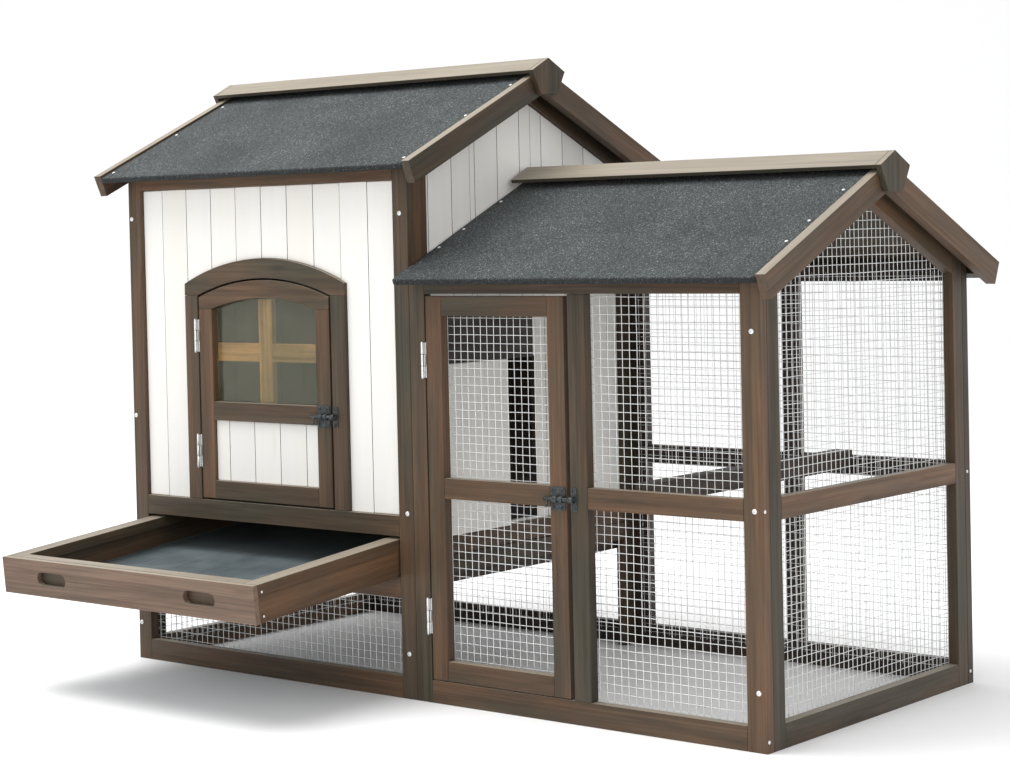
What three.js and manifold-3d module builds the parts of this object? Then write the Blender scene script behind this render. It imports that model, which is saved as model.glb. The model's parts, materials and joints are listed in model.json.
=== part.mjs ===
// Chicken coop: a raised timber house under a felted gable roof, a lower wire-mesh run beside it under
// its own gable roof, a pull-out tray below the house floor line, two front doors and a pop door.
//
// Millimetres, +Z up. While it is laid out, x runs from the house's left face to the run's right face,
// y from the front face to the back face and z up from the ground. The whole is then shifted so that
// the origin is the middle of the bounding box's underside.

import * as THREE from "three";
import { mergeVertices } from "three/addons/utils/BufferGeometryUtils.js";
import Module from "manifold-3d";

const wasm = await Module();
wasm.setup();

// ---------- Driving dimensions ----------

const HOUSE_LENGTH = 630;
const TOTAL_LENGTH = 1256;
const DEPTH = 600;

const MEMBER_WIDTH = 30; // sawn frame timber, 30 x 17
const MEMBER_THICKNESS = 17;
const CORNER_POST_WIDTH = 32;
const BOTTOM_RAIL_HEIGHT = 35;
const JOINT_GAP = 0.3; // left between pieces that touch

const BOARD_THICKNESS = 10; // tongue-and-groove wall boards
const BOARD_PITCH = 58.2;
const FIRST_SEAM = 76.5; // first seam from the left on the front wall
const BOARD_RECESS = MEMBER_THICKNESS - BOARD_THICKNESS;
const GROOVE_WIDTH = 2.4;
const GROOVE_DEPTH = 1.4;

const EAVE_POST_HEIGHT = 831; // top of the house's front and back frames
const TOP_RAIL_BOTTOM = 801;
const SILL_BOTTOM = 250.5; // rail under the front wall and the door
const SILL_TOP = 283;
const TRAY_RAIL_BOTTOM = 155; // rail that the tray rests on
const TRAY_RAIL_TOP = 187;
const SIDE_RAIL_BOTTOM = 184; // paired rails along the side walls
const SIDE_RAIL_SPLIT = 214;
const SIDE_RAIL_TOP = 245;

const RUN_POST_HEIGHT = 655;
const RUN_TOP_RAIL_BOTTOM = 626;
const RUN_MID_RAIL_BOTTOM = 315;
const RUN_MID_RAIL_TOP = 346;

const ROOF_SLOPE = 0.45;
const ROOF_OVERHANG = 40; // past the front and back faces
const SHEET_THICKNESS = 9;
const BARGE_THICKNESS = 16;
const BARGE_DEPTH = 37;
const BARGE_STAND_UP = 4; // above the felt
const CAP_THICKNESS = 6;
const CAP_HALF_WIDTH = 43;
const CAP_SLOPE = 0.5; // the two cap boards meet a little more steeply than the roof
const CAP_RISE = 19.8; // cap's apex above the felt's ridge
const HOUSE_FELT_RIDGE = 977.5;
const RUN_FELT_RIDGE = 802.6;
const RAFTER_DROP = 33; // vertical depth of the house's gable rafters
const RUN_RAFTER_DROP = 39;
const ROOF_SEAT_GAP = 1.5; // between a frame's top and the roof sheet

const HOUSE_ROOF_END = 41; // past the house's left and right faces
const RUN_ROOF_END = 35; // past the run's right face
const END_PLATE_THICKNESS = 9.5; // shield-shaped plate that closes a ridge cap's end
const END_PLATE_HEIGHT = 59.3;
const END_PLATE_FOOT = 22; // half width of its lower edge
const END_PLATE_INSET = 0.5; // below the cap boards' upper faces
const CAP_IN_PLATE = 5; // how far the cap boards run into an end plate

const CASING_LEFT = 133.5; // arched surround of the house door
const CASING_RIGHT = 495.5;
const CASING_SPRING = 643;
const CASING_CROWN = 683.5;
const DOORWAY_SPRING = 623.5;
const DOORWAY_CROWN = 651.5;
const DOOR_GAP = 3;
const HOUSE_DOOR_RIGHT_GAP = 4;
const DOOR_MID_RAIL_BOTTOM = 416.5;
const DOOR_MID_RAIL_TOP = 447;
const WINDOW_SPRING = 601;
const WINDOW_CROWN = 619;

const RUN_DOOR_LEFT = 662.5;
const RUN_DOOR_RIGHT = 924;
const RUN_DOOR_TOP = 622.5;
const RUN_MID_STILE_LEFT = 931;
const RUN_MID_STILE_RIGHT = 961.5;

const MESH_THICKNESS = 1;
const MESH_LAP = 15; // how far a mesh laps over the back of its frame

const TRAY_WIDTH = 565;
const TRAY_LENGTH = 560;
const TRAY_HEIGHT = 58;
const TRAY_FRONT_BOARD = 10;
const TRAY_RIM_WIDTH = 30; // flat rim on top of the tray's sides and back
const TRAY_RIM_HEIGHT = 17;
const TRAY_BOARD = 14; // upright boards under the rim, set in a little
const TRAY_BOARD_SET_IN = 1.5;
const TRAY_SHEET_THICKNESS = 0.8;
const TRAY_TILT = 0.0938; // radians: pulled out, the tray hangs on its rail and tips forward
const TRAY_PULLED_OUT = 316;
const FINGER_SLOT_LENGTH = 67;
const FINGER_SLOT_HEIGHT = 21;
const FINGER_SLOT_FROM_SIDE = 116; // slot centre to the tray's side

const PERCH_SIZE = 30;
const PERCH_TOP = 356;
const PERCH_MIDDLE = 1046;

const POP_OPENING = { front: 163, back: 321, bottom: 250, top: 514 };
const POP_DOOR_LENGTH = 158.2;
const POP_DOOR_OPEN_BY = 94; // how far the pop door stands open at rest
const POP_TRACK_TOP = 598;
const POP_TRACK_END = 295; // rear end of the track board that the door slides behind

const HINGE_HEIGHT = 54;
const HINGE_KNUCKLE_RADIUS = 3.6;
const HINGE_LEAF_THICKNESS = 1.2;
const HINGE_PROUD = 4; // hinge axis in front of the doors' faces
const HINGE_LEAF_DEPTH = 15; // how far a leaf reaches into its joint

const BOLT_RADIUS = 3;
const BOLT_PROUD = 6.4; // bolt's axis in front of the doors' faces
const BOLT_TAIL = 38; // from the door's edge to the bolt's blunt end
const BOLT_BORE_RADIUS = 3.4;
const LATCH_HEIGHT = 35;
const LATCH_PLATE_THICKNESS = 2.4;
const LATCH_PLATE_ENDS = [28, 1.5]; // from the door's edge
const LATCH_GUIDE_ENDS = [19, 2];
const LATCH_GUIDE_HALF_HEIGHT = 6;
const LATCH_GUIDE_FRONT = -BOLT_PROUD - BOLT_RADIUS - 2;
const LATCH_GUIDE_BACK = -1;
const KEEPER_PLATE_ENDS = [1, 12]; // past the bolt's tip
const KEEPER_LOOP_ENDS = [1, 10.5];
const KNOB = { fromEdge: 30, length: 13, radius: 2.2, tipRadius: 1.6 };
const KNOB_LEAN = (70 * Math.PI) / 180; // hangs nearly straight down, a little forward

const ridgeY = DEPTH / 2;
const inner = MEMBER_THICKNESS;
const innerBack = DEPTH - MEMBER_THICKNESS;

// ---------- Materials ----------

const finish = (color, roughness, metalness = 0) =>
  new THREE.MeshStandardMaterial({ color, roughness, metalness });

const frameWood = finish(0x5a4438, 0.7);
const capWood = finish(0x7d6450, 0.7);
const whiteWood = finish(0xefece4, 0.6);
const pineWood = finish(0xb08a58, 0.7);
const trayWood = finish(0x6b5245, 0.7);
const felt = finish(0x4c5357, 0.95);
const acrylic = new THREE.MeshStandardMaterial({
  color: 0xb9c4bd,
  roughness: 0.1,
  transparent: true,
  opacity: 0.35,
});
const galvanised = finish(0xb9bdbf, 0.4, 0.9);
const zinc = finish(0xd4d6d6, 0.35, 0.9);
const blackMetal = finish(0x1c1d1e, 0.5, 0.5);
const traySheetMetal = finish(0x8c979e, 0.45, 0.6);

// ---------- Geometry helpers ----------

const coop = new THREE.Group();

function addPiece(name, geometry, material, parent = coop) {
  const mesh = new THREE.Mesh(geometry, material);
  mesh.name = name;
  parent.add(mesh);
  return mesh;
}

// A block between two limits on each axis, less half a joint gap on every side but the ground.
function block(xs, ys, zs) {
  const half = JOINT_GAP / 2;
  const low = [xs[0] + half, ys[0] + half, zs[0] === 0 ? 0 : zs[0] + half];
  const high = [xs[1] - half, ys[1] - half, zs[1] - half];
  const size = high.map((value, axis) => value - low[axis]);
  return new THREE.BoxGeometry(...size).translate(
    low[0] + size[0] / 2,
    low[1] + size[1] / 2,
    low[2] + size[2] / 2,
  );
}

const polygon = (points) => new THREE.Shape(points.map(([u, v]) => new THREE.Vector2(u, v)));

const rectangle = (left, right, bottom, top) =>
  polygon([
    [left, bottom],
    [right, bottom],
    [right, top],
    [left, top],
  ]);

function withHoles(shape, ...holes) {
  shape.holes.push(...holes);
  return shape;
}

const flatExtrude = (shape, depth) =>
  new THREE.ExtrudeGeometry(shape, { depth, bevelEnabled: false, curveSegments: 14 });

// A shape drawn in (x, z), extruded from y = front to y = back, less half a joint gap on both faces.
const frontPanel = (shape, front, back) =>
  flatExtrude(shape, back - front - JOINT_GAP)
    .rotateX(Math.PI / 2)
    .translate(0, back - JOINT_GAP / 2, 0);

// A shape drawn in (y, z), extruded from x = left to x = right, less half a joint gap on both faces.
function sidePanel(shape, left, right) {
  const turn = new THREE.Matrix4().makeBasis(
    new THREE.Vector3(0, 1, 0),
    new THREE.Vector3(0, 0, 1),
    new THREE.Vector3(1, 0, 0),
  );
  return flatExtrude(shape, right - left - JOINT_GAP)
    .applyMatrix4(turn)
    .translate(left + JOINT_GAP / 2, 0, 0);
}

function solidOf(geometry) {
  const bare = geometry.clone();
  bare.deleteAttribute("normal");
  bare.deleteAttribute("uv");
  const merged = mergeVertices(bare, 1e-4);
  return new wasm.Manifold(
    new wasm.Mesh({
      numProp: 3,
      vertProperties: merged.attributes.position.array,
      triVerts: new Uint32Array(merged.index.array),
    }),
  );
}

function geometryOf(solid) {
  const mesh = solid.getMesh();
  const geometry = new THREE.BufferGeometry();
  geometry.setAttribute("position", new THREE.BufferAttribute(mesh.vertProperties, 3));
  geometry.setIndex(new THREE.BufferAttribute(mesh.triVerts, 1));
  const flat = geometry.toNonIndexed();
  flat.computeVertexNormals();
  return flat;
}

const joined = (first, ...others) =>
  geometryOf(others.reduce((solid, other) => solid.add(solidOf(other)), solidOf(first)));

const cut = (first, ...others) =>
  geometryOf(others.reduce((solid, other) => solid.subtract(solidOf(other)), solidOf(first)));

// Radius of an arch from its half span and rise.
const archRadius = (halfSpan, rise) => (halfSpan * halfSpan + rise * rise) / (2 * rise);

// Adds the arch over [left, right] to an outline: rightwards if clockwise, leftwards if not.
function addArch(outline, left, right, spring, crown, clockwise) {
  const halfSpan = (right - left) / 2;
  const radius = archRadius(halfSpan, crown - spring);
  const lean = Math.asin(halfSpan / radius);
  const from = Math.PI / 2 + (clockwise ? lean : -lean);
  const to = Math.PI / 2 + (clockwise ? -lean : lean);
  outline.absarc((left + right) / 2, crown - radius, radius, from, to, clockwise);
}

// An outline with upright sides and an arched top.
function archedOutline(left, right, bottom, spring, crown, Kind = THREE.Shape) {
  const outline = new Kind();
  outline.moveTo(left, bottom);
  outline.lineTo(right, bottom);
  addArch(outline, left, right, spring, crown, false);
  outline.closePath();
  return outline;
}

// Seams at the board pitch from the first one on, none of them closer to a wall's edge than a sliver.
const SLIVER = 4;
function seamsBetween(low, high, first) {
  const seams = [];
  for (let seam = first; seam < high - SLIVER; seam += BOARD_PITCH) {
    if (seam > low + SLIVER) {
      seams.push(seam);
    }
  }
  return seams;
}

// An upright wedge that cuts the V groove of one seam. The seam's place is on the axis named along,
// the panel's face is at the given place on the other axis, and inwards is +1 or -1 into the wood.
function grooveCutter(along, seam, face, inwards) {
  const corners = [
    [seam - GROOVE_WIDTH, face - inwards * GROOVE_DEPTH],
    [seam + GROOVE_WIDTH, face - inwards * GROOVE_DEPTH],
    [seam, face + inwards * GROOVE_DEPTH],
  ];
  const outline = polygon(along === "x" ? corners : corners.map(([u, v]) => [v, u]));
  return flatExtrude(outline, HOUSE_FELT_RIDGE);
}

const grooved = (panel, along, seams, face, inwards) =>
  cut(panel, ...seams.map((seam) => grooveCutter(along, seam, face, inwards)));

// ---------- Roof profile ----------

const slopeFactor = Math.hypot(1, ROOF_SLOPE);
const roofHeight = (ridgeHeight, y) => ridgeHeight - ROOF_SLOPE * Math.abs(y - ridgeY);
const sheetUnderside = (feltRidge) => feltRidge - SHEET_THICKNESS * slopeFactor;

// Section in (y, z) of a board lying along the roof's slope: front half for side = 1, back for -1.
function slopeSection(ridgeHeight, eaveY, thickness, side) {
  const drop = thickness * slopeFactor;
  const ridgeEdge = JOINT_GAP / 2;
  const reach = ridgeY - eaveY;
  const eaveInset = (thickness * ROOF_SLOPE) / slopeFactor;
  const points = [
    [ridgeEdge, -ROOF_SLOPE * ridgeEdge],
    [ridgeEdge, -ROOF_SLOPE * ridgeEdge - drop],
    [reach - eaveInset, -ROOF_SLOPE * (reach - eaveInset) - drop],
    [reach, -ROOF_SLOPE * reach],
  ];
  return polygon(points.map(([out, down]) => [ridgeY - side * out, ridgeHeight + down]));
}

// A gable outline in (y, z) with its top parallel to the roof.
const gableOutline = (front, back, bottom, apex, Kind = THREE.Shape) =>
  new Kind(
    [
      [front, bottom],
      [back, bottom],
      [back, roofHeight(apex, back)],
      [ridgeY, apex],
      [front, roofHeight(apex, front)],
    ].map(([y, z]) => new THREE.Vector2(y, z)),
  );

// ---------- House: front ----------

const openLeft = MEMBER_WIDTH;
const openRight = HOUSE_LENGTH - MEMBER_WIDTH;
const frontDepth = [0, MEMBER_THICKNESS];
const railAcrossFront = (bottom, top) => block([openLeft, openRight], frontDepth, [bottom, top]);

addPiece("house_post_left", block([0, openLeft], frontDepth, [0, EAVE_POST_HEIGHT]), frameWood);
addPiece(
  "house_post_right",
  block([openRight, HOUSE_LENGTH], frontDepth, [0, EAVE_POST_HEIGHT]),
  frameWood,
);
addPiece("house_top_rail", railAcrossFront(TOP_RAIL_BOTTOM, EAVE_POST_HEIGHT), frameWood);
addPiece("house_sill_rail", railAcrossFront(SILL_BOTTOM, SILL_TOP), frameWood);
addPiece("house_tray_rail", railAcrossFront(TRAY_RAIL_BOTTOM, TRAY_RAIL_TOP), frameWood);
addPiece("house_bottom_rail", railAcrossFront(0, BOTTOM_RAIL_HEIGHT), frameWood);

const casingFoot = SILL_TOP + JOINT_GAP;
const jambLeft = CASING_LEFT + MEMBER_WIDTH;
const jambRight = CASING_RIGHT - MEMBER_WIDTH;

function casingOutline() {
  const outline = new THREE.Shape();
  outline.moveTo(CASING_LEFT, casingFoot);
  outline.lineTo(jambLeft, casingFoot);
  addArch(outline, jambLeft, jambRight, DOORWAY_SPRING, DOORWAY_CROWN, true);
  outline.lineTo(jambRight, casingFoot);
  outline.lineTo(CASING_RIGHT, casingFoot);
  addArch(outline, CASING_LEFT, CASING_RIGHT, CASING_SPRING, CASING_CROWN, false);
  outline.closePath();
  return outline;
}

function frontWallOutline() {
  const outline = new THREE.Shape();
  const left = CASING_LEFT - JOINT_GAP;
  const right = CASING_RIGHT + JOINT_GAP;
  outline.moveTo(openLeft + JOINT_GAP, casingFoot);
  outline.lineTo(left, casingFoot);
  addArch(outline, left, right, CASING_SPRING, CASING_CROWN + JOINT_GAP, true);
  outline.lineTo(right, casingFoot);
  outline.lineTo(openRight - JOINT_GAP, casingFoot);
  outline.lineTo(openRight - JOINT_GAP, TOP_RAIL_BOTTOM - JOINT_GAP);
  outline.lineTo(openLeft + JOINT_GAP, TOP_RAIL_BOTTOM - JOINT_GAP);
  outline.closePath();
  return outline;
}

addPiece("house_door_casing", frontPanel(casingOutline(), ...frontDepth), frameWood);
addPiece(
  "house_front_wall",
  grooved(
    frontPanel(frontWallOutline(), BOARD_RECESS, MEMBER_THICKNESS),
    "x",
    seamsBetween(openLeft, openRight, FIRST_SEAM),
    BOARD_RECESS + JOINT_GAP / 2,
    1,
  ),
  whiteWood,
);

// ---------- House: side and back walls ----------

const stileFront = MEMBER_THICKNESS + MEMBER_WIDTH; // inner edges of the side frames' stiles
const stileBack = DEPTH - stileFront;
const houseApex = sheetUnderside(HOUSE_FELT_RIDGE) - ROOF_SEAT_GAP;
const frontEdge = MEMBER_THICKNESS + JOINT_GAP / 2;
const backEdge = DEPTH - frontEdge;
const splitGap = 1; // each way, between the two side rails
const railSlot = () =>
  rectangle(stileFront, stileBack, SIDE_RAIL_SPLIT - splitGap, SIDE_RAIL_SPLIT + splitGap);
const houseGableOpening = () =>
  gableOutline(stileFront, stileBack, SIDE_RAIL_TOP, houseApex - RAFTER_DROP);

const leftFrame = withHoles(
  gableOutline(frontEdge, backEdge, 0, houseApex),
  rectangle(stileFront, stileBack, BOTTOM_RAIL_HEIGHT, SIDE_RAIL_BOTTOM),
  railSlot(),
  houseGableOpening(),
);
addPiece("house_left_frame", sidePanel(leftFrame, 0, MEMBER_THICKNESS), frameWood);

// The right frame stands on its two stiles, open below its rails to the run.
const rightFrame = withHoles(
  polygon([
    [frontEdge, 0],
    [stileFront, 0],
    [stileFront, SIDE_RAIL_BOTTOM],
    [stileBack, SIDE_RAIL_BOTTOM],
    [stileBack, 0],
    [backEdge, 0],
    [backEdge, roofHeight(houseApex, backEdge)],
    [ridgeY, houseApex],
    [frontEdge, roofHeight(houseApex, frontEdge)],
  ]),
  railSlot(),
  houseGableOpening(),
);
const rightFrameFace = HOUSE_LENGTH - MEMBER_THICKNESS;
addPiece("house_right_frame", sidePanel(rightFrame, rightFrameFace, HOUSE_LENGTH), frameWood);

const backDepth = [DEPTH - MEMBER_THICKNESS, DEPTH];
const houseBackFrame = withHoles(
  rectangle(0, HOUSE_LENGTH - JOINT_GAP, 0, EAVE_POST_HEIGHT),
  rectangle(openLeft, openRight, BOTTOM_RAIL_HEIGHT, SIDE_RAIL_BOTTOM),
  rectangle(openLeft, openRight, SIDE_RAIL_TOP, TOP_RAIL_BOTTOM),
);
addPiece("house_back_frame", frontPanel(houseBackFrame, ...backDepth), frameWood);

const firstSideBoard = 12; // width of the side walls' narrow first board
const sideSeams = seamsBetween(stileFront, stileBack, stileFront + firstSideBoard);
const sideWallOutline = () =>
  gableOutline(
    stileFront + JOINT_GAP,
    stileBack - JOINT_GAP,
    SIDE_RAIL_TOP + JOINT_GAP,
    houseApex - RAFTER_DROP - JOINT_GAP,
  );
addPiece(
  "house_left_wall",
  grooved(
    sidePanel(sideWallOutline(), BOARD_RECESS, MEMBER_THICKNESS),
    "y",
    sideSeams,
    BOARD_RECESS + JOINT_GAP / 2,
    1,
  ),
  whiteWood,
);

const rightWallFace = HOUSE_LENGTH - BOARD_RECESS;
const rightWall = withHoles(
  sideWallOutline(),
  rectangle(POP_OPENING.front, POP_OPENING.back, POP_OPENING.bottom, POP_OPENING.top),
);
addPiece(
  "house_right_wall",
  grooved(
    sidePanel(rightWall, rightFrameFace, rightWallFace),
    "y",
    sideSeams,
    rightWallFace - JOINT_GAP / 2,
    -1,
  ),
  whiteWood,
);

const backWallFace = DEPTH - BOARD_RECESS;
const backWall = rectangle(
  openLeft + JOINT_GAP,
  openRight - JOINT_GAP,
  SIDE_RAIL_TOP + JOINT_GAP,
  TOP_RAIL_BOTTOM - JOINT_GAP,
);
addPiece(
  "house_back_wall",
  grooved(
    frontPanel(backWall, backDepth[0], backWallFace),
    "x",
    seamsBetween(openLeft, openRight, FIRST_SEAM),
    backWallFace - JOINT_GAP / 2,
    -1,
  ),
  whiteWood,
);

// ---------- Wire mesh around the space under the house ----------

// Each mesh is stapled to the inside of its frame, so it stands just behind the timber.
const meshFront = [inner, inner + MESH_THICKNESS + JOINT_GAP];
const meshBack = [innerBack - MESH_THICKNESS - JOINT_GAP, innerBack];
const meshClearance = 2;
const meshStart = inner + meshClearance;
const underHouse = [BOTTOM_RAIL_HEIGHT - MESH_LAP, TRAY_RAIL_BOTTOM + MESH_LAP];
const acrossHouse = [meshStart, rightFrameFace - meshClearance];
const alongDepth = [meshStart, DEPTH - meshStart];

addPiece("under_house_mesh_front", block(acrossHouse, meshFront, underHouse), galvanised);
addPiece("under_house_mesh_back", block(acrossHouse, meshBack, underHouse), galvanised);
addPiece("under_house_mesh_left", block(meshFront, alongDepth, underHouse), galvanised);

// ---------- Pop door ----------

const popDoorBack = POP_OPENING.back - POP_DOOR_OPEN_BY;
const popDoorFront = popDoorBack - POP_DOOR_LENGTH;
const popDoorDepth = [HOUSE_LENGTH + JOINT_GAP, HOUSE_LENGTH + JOINT_GAP + BOARD_THICKNESS];
addPiece(
  "pop_door",
  grooved(
    block(
      popDoorDepth,
      [popDoorFront, popDoorBack],
      [SIDE_RAIL_TOP + JOINT_GAP, POP_OPENING.top],
    ),
    "y",
    seamsBetween(popDoorFront, popDoorBack, popDoorBack - 2 * BOARD_PITCH),
    popDoorDepth[1] - JOINT_GAP / 2,
    -1,
  ),
  whiteWood,
);
addPiece(
  "pop_door_track",
  block(popDoorDepth, [inner + 1, POP_TRACK_END], [POP_OPENING.top, POP_TRACK_TOP]),
  frameWood,
);

// ---------- Tray and its runners ----------

const runnerDepth = [SIDE_RAIL_BOTTOM - MEMBER_THICKNESS, SIDE_RAIL_BOTTOM];
const runnerLeft = [meshStart, meshStart + MEMBER_WIDTH];
const runnerRight = [rightFrameFace - MEMBER_WIDTH, rightFrameFace];
addPiece("tray_runner_left", block(runnerLeft, alongDepth, runnerDepth), frameWood);
addPiece("tray_runner_right", block(runnerRight, alongDepth, runnerDepth), frameWood);

// The tray's own frame starts on the tray rail's top front edge and tips about it.
const tray = new THREE.Group();
tray.position.set(0, 0, TRAY_RAIL_TOP + 2 * JOINT_GAP);
tray.rotation.x = TRAY_TILT;
coop.add(tray);

const trayLeft = (HOUSE_LENGTH - TRAY_WIDTH) / 2;
const trayRight = trayLeft + TRAY_WIDTH;
const trayFront = -TRAY_PULLED_OUT;
const trayBack = trayFront + TRAY_LENGTH;
const trayFrontInside = trayFront + TRAY_FRONT_BOARD;

function fingerSlot(middle) {
  const radius = FINGER_SLOT_HEIGHT / 2;
  const half = FINGER_SLOT_LENGTH / 2 - radius;
  const height = TRAY_HEIGHT / 2;
  const slot = new THREE.Path();
  slot.absarc(middle + half, height, radius, -Math.PI / 2, Math.PI / 2, false);
  slot.absarc(middle - half, height, radius, Math.PI / 2, (3 * Math.PI) / 2, false);
  slot.closePath();
  return slot;
}

const trayFrontOutline = withHoles(
  rectangle(trayLeft, trayRight, 0, TRAY_HEIGHT),
  fingerSlot(trayLeft + FINGER_SLOT_FROM_SIDE),
  fingerSlot(trayRight - FINGER_SLOT_FROM_SIDE),
);
addPiece("tray_front", frontPanel(trayFrontOutline, trayFront, trayFrontInside), trayWood, tray);

// The rim is a flat ring over four upright boards. The one at the front stands behind the front board,
// so the finger slots are blind.
const rimInside = trayLeft + TRAY_RIM_WIDTH;
const rimOutline = withHoles(
  rectangle(trayLeft, trayRight, trayFrontInside + JOINT_GAP, trayBack),
  rectangle(
    rimInside,
    trayRight - TRAY_RIM_WIDTH,
    trayFront + TRAY_RIM_WIDTH,
    trayBack - TRAY_RIM_WIDTH,
  ),
);
const rimBottom = TRAY_HEIGHT - TRAY_RIM_HEIGHT;
const boardOutside = [trayLeft + TRAY_BOARD_SET_IN, trayRight - TRAY_BOARD_SET_IN];
const boardInside = [boardOutside[0] + TRAY_BOARD, boardOutside[1] - TRAY_BOARD];
const boardFront = trayFrontInside + JOINT_GAP;
const boardBack = trayBack - TRAY_BOARD_SET_IN;
const boardsInsideFront = boardFront + TRAY_BOARD;
const boardsInsideBack = boardBack - TRAY_BOARD;
const boardsOutline = withHoles(
  rectangle(...boardOutside, boardFront, boardBack),
  rectangle(...boardInside, boardsInsideFront, boardsInsideBack),
);
const rimOverBoards = 0.5; // buried in the rim so that the two join
addPiece(
  "tray_frame",
  joined(
    flatExtrude(rimOutline, TRAY_RIM_HEIGHT).translate(0, 0, rimBottom),
    flatExtrude(boardsOutline, rimBottom + rimOverBoards),
  ),
  trayWood,
  tray,
);

const traySheetBottom = 4;
addPiece(
  "tray_sheet",
  block(
    boardInside,
    [boardsInsideFront, boardsInsideBack],
    [traySheetBottom, traySheetBottom + TRAY_SHEET_THICKNESS + JOINT_GAP],
  ),
  traySheetMetal,
  tray,
);

// ---------- House door ----------

const houseDoorLeft = jambLeft + DOOR_GAP;
const houseDoorRight = jambRight - HOUSE_DOOR_RIGHT_GAP;
const houseDoorBottom = SILL_TOP + DOOR_GAP;
const doorInnerLeft = houseDoorLeft + MEMBER_WIDTH;
const doorInnerRight = houseDoorRight - MEMBER_WIDTH;
const doorPanelBottom = houseDoorBottom + MEMBER_WIDTH;

const windowOutline = (inset) =>
  archedOutline(
    doorInnerLeft + inset,
    doorInnerRight - inset,
    DOOR_MID_RAIL_TOP + inset,
    WINDOW_SPRING - inset,
    WINDOW_CROWN - inset,
  );
const houseDoorOutline = withHoles(
  archedOutline(
    houseDoorLeft,
    houseDoorRight,
    houseDoorBottom,
    DOORWAY_SPRING - DOOR_GAP,
    DOORWAY_CROWN - DOOR_GAP,
  ),
  rectangle(doorInnerLeft, doorInnerRight, doorPanelBottom, DOOR_MID_RAIL_BOTTOM),
  windowOutline(0),
);
addPiece("house_door_frame", frontPanel(houseDoorOutline, ...frontDepth), frameWood);

const doorPanelFace = 6;
addPiece(
  "house_door_panel",
  grooved(
    block(
      [doorInnerLeft, doorInnerRight],
      [doorPanelFace, doorPanelFace + BOARD_THICKNESS],
      [doorPanelBottom, DOOR_MID_RAIL_BOTTOM],
    ),
    "x",
    seamsBetween(doorInnerLeft, doorInnerRight, doorInnerLeft + MEMBER_WIDTH),
    doorPanelFace + JOINT_GAP / 2,
    1,
  ),
  whiteWood,
);

const paneDepth = [12, 14.5];
const paneOutline = windowOutline(JOINT_GAP);
addPiece("house_door_pane", frontPanel(paneOutline, ...paneDepth), acrylic);

// The glazing cross lies behind the pane; its upright is off the door's middle.
const crossMiddle = 307;
const crossHeight = 529.5;
const crossHalf = MEMBER_WIDTH / 2;
const crossEnd = doorInnerLeft + JOINT_GAP;
const crossFarEnd = doorInnerRight - JOINT_GAP;
const crossFoot = DOOR_MID_RAIL_TOP + JOINT_GAP;
const crossTop = WINDOW_CROWN - 2;
const crossOutline = polygon([
  [crossMiddle - crossHalf, crossFoot],
  [crossMiddle + crossHalf, crossFoot],
  [crossMiddle + crossHalf, crossHeight - crossHalf],
  [crossFarEnd, crossHeight - crossHalf],
  [crossFarEnd, crossHeight + crossHalf],
  [crossMiddle + crossHalf, crossHeight + crossHalf],
  [crossMiddle + crossHalf, crossTop],
  [crossMiddle - crossHalf, crossTop],
  [crossMiddle - crossHalf, crossHeight + crossHalf],
  [crossEnd, crossHeight + crossHalf],
  [crossEnd, crossHeight - crossHalf],
  [crossMiddle - crossHalf, crossHeight - crossHalf],
]);
const crossDepth = [paneDepth[1], paneDepth[1] + 11];
addPiece("house_door_cross", frontPanel(crossOutline, ...crossDepth), pineWood);

// ---------- Run: posts, frames and mesh ----------

const runLeft = HOUSE_LENGTH + JOINT_GAP;
const postLeft = TOTAL_LENGTH - CORNER_POST_WIDTH;
const runApex = sheetUnderside(RUN_FELT_RIDGE) - ROOF_SEAT_GAP;
const runDoorway = [HOUSE_LENGTH + MEMBER_WIDTH, RUN_MID_STILE_LEFT];
const railEnd = postLeft - JOINT_GAP;

addPiece(
  "run_corner_post",
  block([postLeft, TOTAL_LENGTH], frontDepth, [0, RUN_POST_HEIGHT]),
  frameWood,
);

// The front frame's three rails butt against the corner post.
const runFrontFrame = withHoles(
  polygon([
    [runLeft, 0],
    [railEnd, 0],
    [railEnd, BOTTOM_RAIL_HEIGHT],
    [RUN_MID_STILE_RIGHT, BOTTOM_RAIL_HEIGHT],
    [RUN_MID_STILE_RIGHT, RUN_MID_RAIL_BOTTOM],
    [railEnd, RUN_MID_RAIL_BOTTOM],
    [railEnd, RUN_MID_RAIL_TOP],
    [RUN_MID_STILE_RIGHT, RUN_MID_RAIL_TOP],
    [RUN_MID_STILE_RIGHT, RUN_TOP_RAIL_BOTTOM],
    [railEnd, RUN_TOP_RAIL_BOTTOM],
    [railEnd, RUN_POST_HEIGHT],
    [runLeft, RUN_POST_HEIGHT],
  ]),
  rectangle(...runDoorway, BOTTOM_RAIL_HEIGHT, RUN_TOP_RAIL_BOTTOM),
);
addPiece("run_front_frame", frontPanel(runFrontFrame, ...frontDepth), frameWood);

const runSideFace = TOTAL_LENGTH - MEMBER_THICKNESS;
const runSideFrame = withHoles(
  gableOutline(frontEdge, backEdge, 0, runApex),
  rectangle(stileFront, stileBack, BOTTOM_RAIL_HEIGHT, RUN_MID_RAIL_BOTTOM),
  gableOutline(stileFront, stileBack, RUN_MID_RAIL_TOP, runApex - RUN_RAFTER_DROP),
);
addPiece("run_side_frame", sidePanel(runSideFrame, runSideFace, TOTAL_LENGTH), frameWood);

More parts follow.
